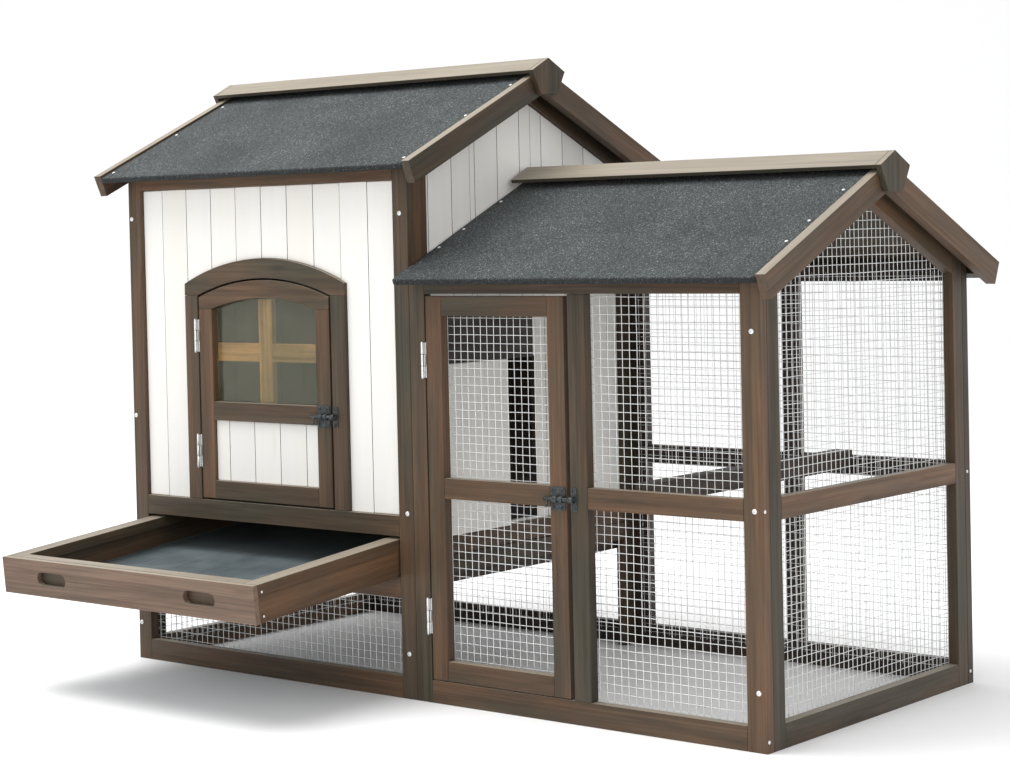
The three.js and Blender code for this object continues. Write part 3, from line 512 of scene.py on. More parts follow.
def clear_acrylic(name):
    """Clear acrylic, tinted green with lighter and darker blotches: a painted reflection. The blotches also
    haze its face a little.
    """
    s = Surface(name, 0.06)
    s.shader.inputs["IOR"].default_value = 1.49
    s.shader.inputs["Transmission Weight"].default_value = 0.95
    s.shader.inputs["Specular IOR Level"].default_value = 0.3
    haze_and_reflection = s.noise(s.grain((16.0, 16.0, 16.0)), 5.0, 0.65)
    # Green tint with lighter and darker blotches: a painted reflection.
    s.color(s.ramp(haze_and_reflection, [(0.3, (0.62, 0.65, 0.45)), (0.75, (0.84, 0.81, 0.62))]))
    s.roughness(s.ramp(haze_and_reflection, [(0.4, 0.04), (0.75, 0.14)]))
    return s.material


def studio_floor(name):
    s = Surface(name, 0.7)
    s.color((0.93, 0.93, 0.935))
    return s.material


# The painted highlight on stained wood that looks up.
TOP_HIGHLIGHT = (0.35, 0.305, 0.238)
WOOD = stained_wood("brown_stain", (0.049, 0.041, 0.026), (0.096, 0.051, 0.026), TOP_HIGHLIGHT, 0.8)
# A darker copy of the brown stain for timbers in shade: the back frames, the tray runners, the perch, the
# pop door track and the eave battens. Its darkness is painted shade.
SHADED_WOOD = stained_wood("painted_shade_brown", (0.026, 0.021, 0.015), (0.042, 0.026, 0.017), None, 0.7)
# The cap boards' brown, darker than the frame's: partly their own stain, partly painted shade on their
# edges and undersides. Their tops take the painted highlight.
CAP_WOOD = stained_wood("cap_stain_and_shade", (0.034, 0.031, 0.020), (0.045, 0.034, 0.022), TOP_HIGHLIGHT, 0.5)
TRAY_WOOD = stained_wood("tray_brown_stain", (0.13, 0.090, 0.062), (0.17, 0.104, 0.070), TOP_HIGHLIGHT, 0.7)
PINE = stained_wood("bare_pine", (0.62, 0.36, 0.17), (0.76, 0.38, 0.15), None, 0.9)
# Dark brown for the boards' inward faces and edges and for the roof boards: painted shade for the dim
# inside of the house and under the roofs.
INSIDE_SHADE = stained_wood("painted_shade_inside", (0.050, 0.044, 0.032), (0.07, 0.05, 0.032), None, 0.6, 0.7)
WHITE = painted_boards("white_paint", (0.79, 0.775, 0.742))
FELT = mineral_felt("mineral_felt")
WIRE = galvanised_steel("galvanised_wire", (0.80, 0.81, 0.80), 0.38, 0.15)
ZINC = galvanised_steel("bright_zinc", (0.86, 0.87, 0.87), 0.32, 0.55)
BLACK = black_lacquer("black_lacquer")
TRAY_METAL = tray_metal("tray_sheet")
ACRYLIC = clear_acrylic("clear_acrylic")

# ---------------------------------------------------------------- timber frames


def member_in(plane):
    """Makes a function that adds a member drawn in a plane and extruded from near to far across it."""

    def add_member(piece, outline, near, far, grain="v", edge=EDGE, shade=None):
        turn = grain if isinstance(grain, Matrix) else turned_grain(math.pi / 2 if grain == "v" else 0)
        piece.add(prism(outline, far - near, edge), plane(near), turn, shade=shade)

    return add_member


member_front = member_in(front_plane)
member_side = member_in(side_plane)


def limits(u0, u1, v0, v1):
    return [(u0, v0), (u1, v0), (u1, v1), (u0, v1)]


def arch(left, right, spring, crown, steps=28):
    """Points of a circular arch from left to right."""
    half, rise = (right - left) / 2, crown - spring
    radius = (half * half + rise * rise) / (2 * rise)
    lean = math.asin(half / radius)
    turns = [lean * (2 * step / steps - 1) for step in range(steps + 1)]
    middle = (left + right) / 2
    return [(middle + radius * math.sin(t), crown - radius + radius * math.cos(t)) for t in turns]


def timber(node, grain, material=WOOD):
    """A sawn length that fills a CAD block."""
    low, high = span(node)
    piece = Piece(node + "_timber", "coop", "frame_wood", material, [node])
    add_box(piece, low, high, grain)
    return piece.build()


for post in ("house_post_left", "house_post_right", "run_corner_post"):
    timber(post, "z")
for rail in ("house_top_rail", "house_sill_rail", "house_tray_rail", "house_bottom_rail"):
    timber(rail, "x")
for lengthways in ("tray_runner_left", "tray_runner_right", "run_perch"):
    timber(lengthways, "y", material=SHADED_WOOD)

SEAT = HALF_GAP * 2  # left between members that butt
STILE_FRONT = THICK + MEMBER  # inner edges of the side frames' stiles
STILE_BACK = DEPTH - STILE_FRONT
FRONT_EDGE = THICK + HALF_GAP
BACK_EDGE = DEPTH - FRONT_EDGE
BOTTOM_RAIL = span("house_bottom_rail")[1].z + HALF_GAP
SIDE_RAIL_BOTTOM = 184 * MM
SIDE_RAIL_SPLIT = 214 * MM
SIDE_RAIL_TOP = 245 * MM
HOUSE_EAVE = span("house_post_left")[1].z + HALF_GAP
TOP_RAIL_BOTTOM = span("house_top_rail")[0].z - HALF_GAP
RUN_EAVE = span("run_corner_post")[1].z + HALF_GAP
RUN_TOP_RAIL = 626 * MM
RUN_MID_RAIL = (315 * MM, 346 * MM)
HOUSE_APEX = span("house_left_frame")[1].z
RUN_APEX = span("run_side_frame")[1].z
HOUSE_RAFTER_DROP = 33 * MM
RUN_RAFTER_DROP = 39 * MM


def under_roof(apex, y):
    return apex - ROOF_SLOPE * abs(y - RIDGE_Y)


def gable_frame(prefix, left, right, apex, rafter_drop, rails):
    """Two stiles cut to the roof's slope, rails between them, and two rafters that meet at the ridge."""
    piece = Piece(prefix + "_members", "coop", "frame_wood", WOOD, [prefix + "_frame"])
    for outer, inner in ((FRONT_EDGE, STILE_FRONT), (BACK_EDGE, STILE_BACK)):
        low, high = min(outer, inner), max(outer, inner)
        outline = [(low, 0), (high, 0), (high, under_roof(apex, high)), (low, under_roof(apex, low))]
        member_side(piece, outline, left, right)
    for bottom, top in rails:
        member_side(piece, limits(STILE_FRONT + SEAT, STILE_BACK - SEAT, bottom, top), left, right, "u")
    for foot, side in ((STILE_FRONT + SEAT, 1), (STILE_BACK - SEAT, -1)):
        ridge = RIDGE_Y - side * HALF_GAP
        outline = [
            (foot, under_roof(apex, foot) - rafter_drop),
            (ridge, under_roof(apex, ridge) - rafter_drop),
            (ridge, under_roof(apex, ridge)),
            (foot, under_roof(apex, foot)),
        ]
        member_side(piece, outline, left, right, turned_grain(side * ROOF_ANGLE))
    return piece.build()


house_rails = [
    (SIDE_RAIL_BOTTOM, SIDE_RAIL_SPLIT - MM),
    (SIDE_RAIL_SPLIT + MM, SIDE_RAIL_TOP),
]
left_frame_faces = (HALF_GAP, THICK - HALF_GAP)
right_frame_faces = (HOUSE_RIGHT - THICK + HALF_GAP, HOUSE_RIGHT - HALF_GAP)
run_side_faces = (RUN_RIGHT - THICK + HALF_GAP, RUN_RIGHT - HALF_GAP)
gable_frame(
    "house_left", *left_frame_faces, HOUSE_APEX, HOUSE_RAFTER_DROP, [(0, BOTTOM_RAIL), *house_rails]
)
gable_frame("house_right", *right_frame_faces, HOUSE_APEX, HOUSE_RAFTER_DROP, house_rails)
gable_frame(
    "run_side", *run_side_faces, RUN_APEX, RUN_RAFTER_DROP, [(0, BOTTOM_RAIL), RUN_MID_RAIL]
)


def flat_frame(prefix, front, back, stiles, rails, body="coop", material=WOOD):
    """Stiles and rails in a plane of constant y, each given as (left, right, bottom, top)."""
    piece = Piece(prefix + "_members", body, "frame_wood", material, [prefix + "_frame"])
    for stile in stiles:
        member_front(piece, limits(*stile), front, back)
    for rail in rails:
        member_front(piece, limits(*rail), front, back, "u")
    return piece.build()


back_faces = (BACK_INNER + HALF_GAP, DEPTH - HALF_GAP)
front_faces = (HALF_GAP, THICK - HALF_GAP)
house_inner = (MEMBER + SEAT, HOUSE_RIGHT - MEMBER - SEAT)
flat_frame(
    "house_back",
    *back_faces,
    [(0, MEMBER, 0, HOUSE_EAVE), (HOUSE_RIGHT - MEMBER, HOUSE_RIGHT - SEAT, 0, HOUSE_EAVE)],
    [
        (*house_inner, 0, BOTTOM_RAIL),
        (*house_inner, SIDE_RAIL_BOTTOM, SIDE_RAIL_SPLIT - HALF_GAP),
        (*house_inner, SIDE_RAIL_SPLIT + HALF_GAP, SIDE_RAIL_TOP),
        (*house_inner, TOP_RAIL_BOTTOM, HOUSE_EAVE),
    ],
    material=SHADED_WOOD,
)

RUN_LEFT = span("run_front_frame")[0].x
RAIL_END = span("run_front_frame")[1].x
DOORWAY_LEFT = RUN_LEFT - SEAT + MEMBER
MID_STILE = (931 * MM, 961.5 * MM)
flat_frame(
    "run_front",
    *front_faces,
    [
        (RUN_LEFT, DOORWAY_LEFT, 0, RUN_EAVE),
        (*MID_STILE, BOTTOM_RAIL + SEAT, RUN_TOP_RAIL - SEAT),
    ],
    [
        (DOORWAY_LEFT + SEAT, RAIL_END, 0, BOTTOM_RAIL),
        (MID_STILE[1] + SEAT, RAIL_END, *RUN_MID_RAIL),
        (DOORWAY_LEFT + SEAT, RAIL_END, RUN_TOP_RAIL, RUN_EAVE),
    ],
)
back_post = span("run_corner_post")[0].x
run_back_inner = (DOORWAY_LEFT + SEAT, back_post - SEAT)
flat_frame(
    "run_back",
    *back_faces,
    [
        (RUN_LEFT, DOORWAY_LEFT, 0, RUN_EAVE),
        (*MID_STILE, BOTTOM_RAIL + SEAT, RUN_TOP_RAIL - SEAT),
        (back_post, RUN_RIGHT, 0, RUN_EAVE),
    ],
    [
        (*run_back_inner, 0, BOTTOM_RAIL),
        (run_back_inner[0], MID_STILE[0] - SEAT, *RUN_MID_RAIL),
        (MID_STILE[1] + SEAT, run_back_inner[1], *RUN_MID_RAIL),
        (*run_back_inner, RUN_TOP_RAIL, RUN_EAVE),
    ],
    material=SHADED_WOOD,
)

# Run door: rails between full-height stiles.
door_low, door_high = span("run_door_frame")
run_door_inner = (door_low.x + MEMBER + SEAT, door_high.x - MEMBER - SEAT)
flat_frame(
    "run_door",
    *front_faces,
    [
        (door_low.x, door_low.x + MEMBER, door_low.z, door_high.z),
        (door_high.x - MEMBER, door_high.x, door_low.z, door_high.z),
    ],
    [
        (*run_door_inner, door_low.z, door_low.z + MEMBER),
        (*run_door_inner, *RUN_MID_RAIL),
        (*run_door_inner, door_high.z - MEMBER, door_high.z),
    ],
    body="run_door",
)

# ---------------------------------------------------------------- arched casing and house door

casing_low, casing_high = span("house_door_casing")
CASING_SPRING = 643 * MM
DOORWAY_SPRING, DOORWAY_CROWN = 623.5 * MM, 651.5 * MM


def arched_frame(name, node, body, inner, outer_spring, spring, crown, rails=()):
    """Two uprights, rails between them and an arched head, round an opening between two inner edges."""
    low, high = span(node)
    piece = Piece(name, body, "frame_wood", WOOD, [node])
    for left, right in ((low.x, inner[0]), (inner[1], high.x)):
        member_front(piece, limits(left, right, low.z, spring - SEAT), *front_faces)
    for bottom, top in rails:
        rail = limits(inner[0] + SEAT, inner[1] - SEAT, bottom, top)
        member_front(piece, rail, *front_faces, "u")
    head = [(low.x, spring), *arch(low.x, high.x, outer_spring, high.z), (high.x, spring)]
    head += arch(*inner, spring, crown)[::-1]
    member_front(piece, head, *front_faces, "u")
    return piece.build()


jambs = (casing_low.x + MEMBER, casing_high.x - MEMBER)
arched_frame(
    "house_door_casing_members",
    "house_door_casing",
    "coop",
    jambs,
    CASING_SPRING,
    DOORWAY_SPRING,
    DOORWAY_CROWN,
)

leaf_low, leaf_high = span("house_door_frame")
DOOR_SPRING = 620.5 * MM
DOOR_MID_RAIL = (416.5 * MM, 447 * MM)
WINDOW_SPRING, WINDOW_CROWN = 601 * MM, 619 * MM
door_inner = (leaf_low.x + MEMBER, leaf_high.x - MEMBER)
door_rails = [(leaf_low.z, leaf_low.z + MEMBER), DOOR_MID_RAIL]
arched_frame(
    "house_door_members",
    "house_door_frame",
    "house_door",
    door_inner,
    DOOR_SPRING,
    WINDOW_SPRING,
    WINDOW_CROWN,
    door_rails,
)

pane_low, pane_high = span("house_door_pane")
pane = Piece("house_door_glazing", "house_door", "clear_pane", ACRYLIC, ["house_door_pane"])
pane_arch = arch(pane_low.x, pane_high.x, WINDOW_SPRING - SEAT, pane_high.z)
pane_outline = [(pane_low.x, pane_low.z), *pane_arch, (pane_high.x, pane_low.z)]
member_front(pane, pane_outline, pane_low.y, pane_high.y, "v", 0.3 * MM)
pane.build()

cross_low, cross_high = span("house_door_cross")
CROSS_MIDDLE, CROSS_HEIGHT = 307 * MM, 529.5 * MM
cross = Piece("house_door_glazing_bars", "house_door", "pine_wood", PINE, ["house_door_cross"])
upright = limits(CROSS_MIDDLE - MEMBER / 2, CROSS_MIDDLE + MEMBER / 2, cross_low.z, cross_high.z)
member_front(cross, upright, cross_low.y, cross_high.y)
for left, right in (
    (cross_low.x, CROSS_MIDDLE - MEMBER / 2 - SEAT),
    (CROSS_MIDDLE + MEMBER / 2 + SEAT, cross_high.x),
):
    bar = limits(left, right, CROSS_HEIGHT - MEMBER / 2, CROSS_HEIGHT + MEMBER / 2)
    member_front(cross, bar, cross_low.y, cross_high.y, "u")
cross.build()

# ---------------------------------------------------------------- boarded walls

SEAM_GAP = 0.5 * MM
TONGUE = (3.2 * MM, 6 * MM)  # thickness, and width over the seam
SLIVER = 4 * MM  # no board is narrower


def seam_shade(point):
    """A tongue's tone: 0, which the white paint's colour turns into painted shade at the bottom of the
    seam.
    """
    return 0.0


def boards_between(low, high, first_seam):
    """Left and right edges of each board of a wall."""
    count = math.floor((high - first_seam) / BOARD_PITCH)
    seams = [first_seam + BOARD_PITCH * step for step in range(count + 1)]
    edges = [low] + [seam for seam in seams if low + SLIVER < seam < high - SLIVER] + [high]
    return list(zip(edges, edges[1:]))


def board_inside(left, right, across):
    """A board's own edges: half a seam inside its limits, but not at the wall's ends."""
    inset = SEAM_GAP / 2
    start = left + (inset if left > across[0] else 0)
    end = right - (inset if right < across[1] else 0)
    return start, end


def add_tongue(piece, add_member, faces, seam, outline_between):
    """The tongue that shows at the bottom of a seam."""
    middle = (faces[0] + faces[1]) / 2
    outline = outline_between(seam - TONGUE[1] / 2, seam + TONGUE[1] / 2)
    near, far = middle - TONGUE[0] / 2, middle + TONGUE[0] / 2
    add_member(piece, outline, near, far, "v", 0.2 * MM, seam_shade)


def boarded(prefix, node, add_member, first_seam, inwards, bottoms=None, tops=None, body="coop"):
    """Upright tongued boards over a CAD node. bottoms(u0, u1) and tops(u0, u1) give each board's lower
    and upper edge. When inwards is given, the boards' edges and their faces that look inwards are dark
    brown: painted shade for the dim inside and the grooves."""
    low, high = span(node)
    frontal = add_member is member_front
    faces, across = ((low.y, high.y), (low.x, high.x)) if frontal else ((low.x, high.x), (low.y, high.y))
    bottoms, tops = bottoms or level(low.z), tops or level(high.z)
    piece = Piece(prefix + "_boards", body, "white_wood", WHITE, [node])
    if inwards:
        # Painted shade: inward faces and board edges take the dark brown.
        piece.line(INSIDE_SHADE, inwards, *((LEFTWARD, RIGHTWARD) if frontal else (FORWARD, BACKWARD)))

    def outline_between(start, end):
        return bottoms(start, end) + tops(start, end)[::-1]

    boards = boards_between(*across, first_seam)
    for left, right in boards:
        start, end = board_inside(left, right, across)
        add_member(piece, outline_between(start, end), *faces, "v", BOARD_EDGE)
    for _, seam in boards[:-1]:
        add_tongue(piece, add_member, faces, seam, outline_between)
    return piece.build()


def level(height):
    return lambda start, end: [(start, height), (end, height)]


def over_arch(base, left, right, spring, crown, gap):
    """The lower edge of boards that stop over an arched casing and run down beside it."""
    curve = arch(left - gap, right + gap, spring, crown + gap, 60)

    def height(u):
        following = next(index for index, point in enumerate(curve) if point[0] >= u - 1e-9)
        (u0, v0), (u1, v1) = curve[max(following - 1, 0)], curve[following]
        return v1 if u1 == u0 else v0 + (v1 - v0) * (u - u0) / (u1 - u0)

    def edge(start, end):
        first, last = curve[0][0], curve[-1][0]
        points = []
        if start < first:
            points += [(start, base), (min(end, first), base)]
        inner = [u for u, _ in curve if start < u < end]
        points += [(u, height(u)) for u in (start, *inner, end) if first <= u <= last]
        if end > last:
            points += [(max(start, last), base), (end, base)]
        return points

    return edge


def sloped(apex):
    def edge(start, end):
        ridge = [(RIDGE_Y, apex)] if start < RIDGE_Y < end else []
        return [(start, under_roof(apex, start)), *ridge, (end, under_roof(apex, end))]

    return edge


FIRST_SEAM = 76.5 * MM
SIDE_SEAM = STILE_FRONT + 12 * MM
front_foot = span("house_front_wall")[0].z
over_casing = over_arch(front_foot, casing_low.x, casing_high.x, CASING_SPRING, casing_high.z, SEAT)
boarded("house_front", "house_front_wall", member_front, FIRST_SEAM, BACKWARD, over_casing)
boarded("house_back", "house_back_wall", member_front, FIRST_SEAM, FORWARD)
left_top = sloped(span("house_left_wall")[1].z)
boarded("house_left", "house_left_wall", member_side, SIDE_SEAM, RIGHTWARD, None, left_top)

POP_OPENING = (163 * MM, 321 * MM, 250 * MM, 514 * MM)  # front, back, bottom and top


def pop_opening_boards():
    """The right wall, whose boards are cut off above and below the pop opening."""
    low, high = span("house_right_wall")
    front, back, bottom, top = POP_OPENING
    faces = (low.x, high.x)
    piece = Piece("house_right_boards", "coop", "white_wood", WHITE, ["house_right_wall"])
    # Painted shade: inward faces, board edges and the opening's cut edges take the dark brown.
    piece.line(INSIDE_SHADE, LEFTWARD, FORWARD, BACKWARD)
    roof_edge = sloped(high.z)

    def up_to_roof(foot):
        return lambda a, b: [(a, foot), (b, foot)] + roof_edge(a, b)[::-1]

    boards = boards_between(low.y, high.y, SIDE_SEAM)
    for left, right in boards:
        start, end = board_inside(left, right, (low.y, high.y))
        for a, b in ((start, min(end, front)), (max(start, back), end)):
            if b - a > MM:
                member_side(piece, up_to_roof(low.z)(a, b), *faces, "v", BOARD_EDGE)
        a, b = max(start, front), min(end, back)
        if b - a > MM:
            member_side(piece, up_to_roof(top)(a, b), *faces, "v", BOARD_EDGE)
            member_side(piece, limits(a, b, low.z, bottom), *faces, "v", BOARD_EDGE)
    for _, seam in boards[:-1]:
        over_opening = front - TONGUE[1] < seam < back + TONGUE[1]
        add_tongue(piece, member_side, faces, seam, up_to_roof(top if over_opening else low.z))
    return piece.build()


pop_opening_boards()
panel_seam = door_inner[0] + MEMBER
boarded("house_door", "house_door_panel", member_front, panel_seam, BACKWARD, body="house_door")
pop_seam = span("pop_door")[1].y + HALF_GAP - 2 * BOARD_PITCH
boarded("pop_door", "pop_door", member_side, pop_seam, None, body="pop_door")
timber("pop_door_track", "y", material=SHADED_WOOD)

# ---------------------------------------------------------------- welded mesh


def wire(piece, start, end, wander, place):
    """One drawn wire, never quite straight."""
    steps = max(3, round((end - start).length / (2 * WIRE_PITCH)))
    phases = [piece.random.uniform(0, 2 * math.pi) for _ in range(4)]
    waves = [piece.random.uniform(1.5, 4.5) for _ in range(2)]
    along = (end - start).normalized()
    beside = along.cross(Vector((0, 0, 1))).normalized()
    points = []
    for step in range(steps + 1):
        share = step / steps
        sway = wander * math.sin(waves[0] * 2 * math.pi * share + phases[0])
        sway += 0.5 * wander * math.sin(waves[1] * 4 * math.pi * share + phases[1])
        lift = 0.3 * wander * math.sin(waves[1] * 2 * math.pi * share + phases[2])
        points.append(start.lerp(end, share) + beside * sway + Vector((0, 0, lift)))
    piece.add(tube_solid(points, WIRE_RADIUS, 6, beside), place)


def welded_mesh(name, node, place, across, bottom, top, body="coop", near=0.0, order=1):
    """Square welded mesh: upright wires against the timber and level wires behind them.
    top(u) is the height where the wire at u ends. order is -1 where the timber is on the far side."""
    piece = Piece(name, body, "welded_mesh", WIRE, [node])
    start, end = across
    wander = 0.22 * MM
    upright_layer = near + order * (WIRE_RADIUS + 0.1 * MM)
    level_layer = upright_layer + order * 1.8 * WIRE_RADIUS
    count = int((end - start - 2 * WIRE_RADIUS) / WIRE_PITCH)
    first = start + ((end - start) - count * WIRE_PITCH) / 2
    for step in range(count + 1):
        u = first + step * WIRE_PITCH
        foot, head = Vector((u, bottom, upright_layer)), Vector((u, top(u), upright_layer))
        wire(piece, foot, head, wander, place)
    highest = max(top(start), top(end), top((start + end) / 2))
    v = bottom + 4 * MM
    while v < highest - WIRE_RADIUS:
        reach = [u for u in (start + (end - start) * k / 400 for k in range(401)) if top(u) >= v]
        if len(reach) > 1:
            first_end, last_end = (Vector((u, v, level_layer)) for u in (reach[0], reach[-1]))
            wire(piece, first_end, last_end, wander, place)
        v += WIRE_PITCH
    return piece.build()


def flat_mesh(name, node, facing, body="coop"):
    """Welded mesh over a rectangular frame. facing is front, back, left or right: the timber's side."""
    low, high = span(node)
    upright = facing in ("front", "back")
    place = front_plane(0) if upright else side_plane(0)
    across = (low.x, high.x) if upright else (low.y, high.y)
    near, far = (low.y, high.y) if upright else (low.x, high.x)
    order = 1 if facing in ("front", "left") else -1
    against = near if order == 1 else far
    return welded_mesh(name, node, place, across, low.z, lambda u: high.z, body, against, order)


flat_mesh("under_house_wire_front", "under_house_mesh_front", "front")
flat_mesh("under_house_wire_back", "under_house_mesh_back", "back")
flat_mesh("under_house_wire_left", "under_house_mesh_left", "left")
flat_mesh("run_wire_front", "run_front_mesh", "front")
flat_mesh("run_wire_back", "run_back_mesh", "back")
flat_mesh("run_door_wire", "run_door_mesh", "front", "run_door")
side_low, side_high = span("run_side_mesh")
welded_mesh(
    "run_wire_side",
    "run_side_mesh",
    side_plane(0),
    (side_low.y, side_high.y),
    side_low.z,
    lambda u: under_roof(side_high.z, u),
    near=side_high.x,
    order=-1,
)

# ---------------------------------------------------------------- tray

tray_slide = next(joint for joint in frame["joints"] if joint["name"] == "tray_slide")
TRAY_TILT = math.atan2(tray_slide["axis"][2], tray_slide["axis"][1])
TRAY_PIVOT = span("house_tray_rail")[1].z + HALF_GAP + 2 * SEAT
tray_place = Matrix.Translation(at(0, 0, TRAY_PIVOT)) @ Matrix.Rotation(TRAY_TILT, 4, "X")
untilt = tray_place.inverted()


def tray_span(node):
    """A tray node's limits in the tray's own frame, which starts on the tray rail's top front edge."""
    points = [untilt @ vertex.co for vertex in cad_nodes[node].data.vertices]
    low = Vector((min(point[axis] for point in points) for axis in range(3)))
    high = Vector((max(point[axis] for point in points) for axis in range(3)))
    return low, high


def tray_box(piece, low, high, grain, edge=EDGE):
    low, high = Vector(low), Vector(high)
    size = high - low
    bm = prism(rectangle(size.x, size.y), size.z, edge)
    piece.add(bm, tray_place @ Matrix.Translation(low), grain_turn_for(grain))


RIM_HEIGHT = 17 * MM
BOARD_SET_IN = 1.5 * MM
TRAY_BOARD = 14 * MM
FRONT_RIM_WIDTH = 20 * MM
SLOT_LENGTH, SLOT_HEIGHT = 67 * MM, 21 * MM
SLOT_FROM_END = 116 * MM
TRAY_SHEET_THICK = 0.8 * MM
LIP_WIDTH, LIP_HEIGHT = 1.5 * MM, 3 * MM


def stadium(middle, height, length, across, steps=14):
    """A finger slot's outline, with round ends."""
    radius = across / 2
    half = length / 2 - radius
    outline = []
    for side, centre in ((0, middle + half), (1, middle - half)):
        for step in range(steps + 1):
            angle = math.pi * (step / steps + side) - math.pi / 2
            outline.append((centre + radius * math.cos(angle), height + radius * math.sin(angle)))
    return outline


def slotted_board(low, high, slots, depth, edge):
    """A board in (u, v), extruded along w, with finger slots cut through it."""
    bm = bmesh.new()
    loops = [rectangle(high.x - low.x, high.z - low.z), *slots]
    edges = []
    for loop in loops:
        corners = [bm.verts.new((u, v, 0)) for u, v in loop]
        edges += [bm.edges.new((a, b)) for a, b in zip(corners, corners[1:] + corners[:1])]
    bmesh.ops.triangle_fill(bm, use_beauty=True, use_dissolve=False, edges=edges)
    return extruded(bm, depth, edge)


def build_tray():
    low, high = tray_span("tray_front")
    front = Piece("tray_front_board", "tray", "tray_wood", TRAY_WOOD, ["tray_front"])
    middle = (high.z - low.z) / 2
    centres = (SLOT_FROM_END, high.x - low.x - SLOT_FROM_END)
    slots = [stadium(centre, middle, SLOT_LENGTH, SLOT_HEIGHT) for centre in centres]
    board = slotted_board(low, high, slots, high.y - low.y, EDGE)
    front.add(board, tray_place @ Matrix.Translation(low) @ FRONTAL, turned_grain(0))
    front.build()

    low, high = tray_span("tray_frame")
    rim_bottom = high.z - RIM_HEIGHT
    members = Piece("tray_sides", "tray", "tray_wood", WOOD, ["tray_frame"])
    for left, right in ((low.x, low.x + MEMBER), (high.x - MEMBER, high.x)):
        tray_box(members, (left, low.y, rim_bottom), (right, high.y, high.z), "y")
    inside = (low.x + MEMBER + SEAT, high.x - MEMBER - SEAT)
    tray_box(members, (inside[0], high.y - MEMBER, rim_bottom), (inside[1], high.y, high.z), "x")
    front_rim_back = low.y + FRONT_RIM_WIDTH
    tray_box(members, (inside[0], low.y, rim_bottom), (inside[1], front_rim_back, high.z), "x")
    outer = (low.x + BOARD_SET_IN, high.x - BOARD_SET_IN)
    back = high.y - BOARD_SET_IN
    for left, right in ((outer[0], outer[0] + TRAY_BOARD), (outer[1] - TRAY_BOARD, outer[1])):
        tray_box(members, (left, low.y, low.z), (right, back, rim_bottom), "y")
    between = (outer[0] + TRAY_BOARD, outer[1] - TRAY_BOARD)
    tray_box(members, (between[0], back - TRAY_BOARD, low.z), (between[1], back, rim_bottom), "x")
    tray_box(members, (between[0], low.y, low.z), (between[1], low.y + TRAY_BOARD, rim_bottom), "x")
    members.build()


def sheet_wave(x, y):
    """How far the sheet stands off the flat at a place."""
    broad = noise.noise(Vector((x, y, 0)) * 9)
    small = noise.noise(Vector((x, y, 3)) * 25)
    return 0.5 * MM * broad + 0.25 * MM * small


def build_tray_sheet():
    """Thin sheet metal on the tray's floor, turned up a little at both sides."""
    low, high = tray_span("tray_sheet")
    sheet = Piece("tray_liner", "tray", "tray_sheet_metal", TRAY_METAL, ["tray_sheet"])
    bm = bmesh.new()
    steps = 40
    inner_left, inner_right = low.x + LIP_WIDTH, high.x - LIP_WIDTH
    wide, deep = high.x - low.x - 2 * LIP_WIDTH, high.y - low.y - LIP_WIDTH
    stations_x = [inner_left, *(inner_left + wide * k / steps for k in range(steps + 1)), inner_right]
    stations_y = [low.y + deep * k / steps for k in range(steps + 1)]
    grid = []
    for index, x in enumerate(stations_x):
        turned_up = index in (0, len(stations_x) - 1)
        line = []
        for y in stations_y:
            rise = LIP_HEIGHT if turned_up else max(sheet_wave(x, y), 0)
            line.append(bm.verts.new((x, y, low.z + TRAY_SHEET_THICK + rise)))
        grid.append(line)
    for line, following in zip(grid, grid[1:]):
        for a, b, c, d in zip(line, following, following[1:], line[1:]):
            bm.faces.new((a, b, c, d))
    bmesh.ops.recalc_face_normals(bm, faces=bm.faces)
    bmesh.ops.solidify(bm, geom=list(bm.faces), thickness=TRAY_SHEET_THICK)
    bmesh.ops.recalc_face_normals(bm, faces=bm.faces)
    sheet.add(bm, tray_place, grain_turn_for("y"))
    sheet.build()


build_tray()
build_tray_sheet()

# ---------------------------------------------------------------- fastenings


def turned_to(direction, origin):
    """A place whose w axis points along a direction."""
    turn = Vector((0, 0, 1)).rotation_difference(Vector(direction)).to_matrix().to_4x4()
    return Matrix.Translation(origin) @ turn


def screw_solid(radius, spin):
    """A raised screw head with a cross recess."""
    profile = [(1.0, 0.0), (0.97, 0.22), (0.86, 0.36), (0.7, 0.44)]
    profile += [(share, 0.5) for share in (0.58, 0.5, 0.42, 0.34, 0.26, 0.18, 0.1)]
    turn_c, turn_s = math.cos(spin), math.sin(spin)
    bm = bmesh.new()
    rings = []
    for share, height in profile:
        ring = []
        for c, s in round_steps(48):
            u, v = share * c, share * s
            recessed = min(abs(u), abs(v)) < 0.13 and share < 0.56
            x, y = turn_c * u - turn_s * v, turn_s * u + turn_c * v
            z = height - (0.38 if recessed else 0.0)
            ring.append(bm.verts.new((radius * x, radius * y, radius * z)))
        rings.append(ring)
    join_rings(bm, rings)
    bm.faces.new(rings[-1])
    bm.faces.new(rings[0][::-1])
    bmesh.ops.recalc_face_normals(bm, faces=bm.faces)
    return bm


def nail_solid(radius):
    """A flat clout nail head."""
    rim = [(radius, 0), (radius, 0.25 * radius), (0.8 * radius, 0.42 * radius)]
    return lathe_solid([(0, 0), *rim, (0, 0.5 * radius)], 16)


def build_tray_nails():
    """Nails through the tray's sides into its front and back boards."""
    low, high = tray_span("tray_frame")
    nails = Piece("tray_nails", "tray", "zinc", ZINC)
    outward = tray_place.to_3x3() @ Vector((1, 0, 0))
    for y in (low.y + 7 * MM, high.y - 7 * MM):
        for z in (low.z + 10 * MM, high.z - 12 * MM):
            for x, way in ((low.x, -1), (high.x, 1)):
                head = turned_to(outward * way, tray_place @ Vector((x, y, z)))
                nails.add(nail_solid(0.7 * NAIL_RADIUS), head)
    nails.build()


build_tray_nails()


def screws(name, body, places, radius=SCREW_RADIUS):
    """Screw heads, each at a point measured from CORNER and facing a direction."""
    piece = Piece(name, body, "zinc", ZINC)
    for point, facing in places:
        head = screw_solid(radius, piece.random.uniform(0, math.pi))
        piece.add(head, turned_to(facing, at(*point)))
    return piece.build()


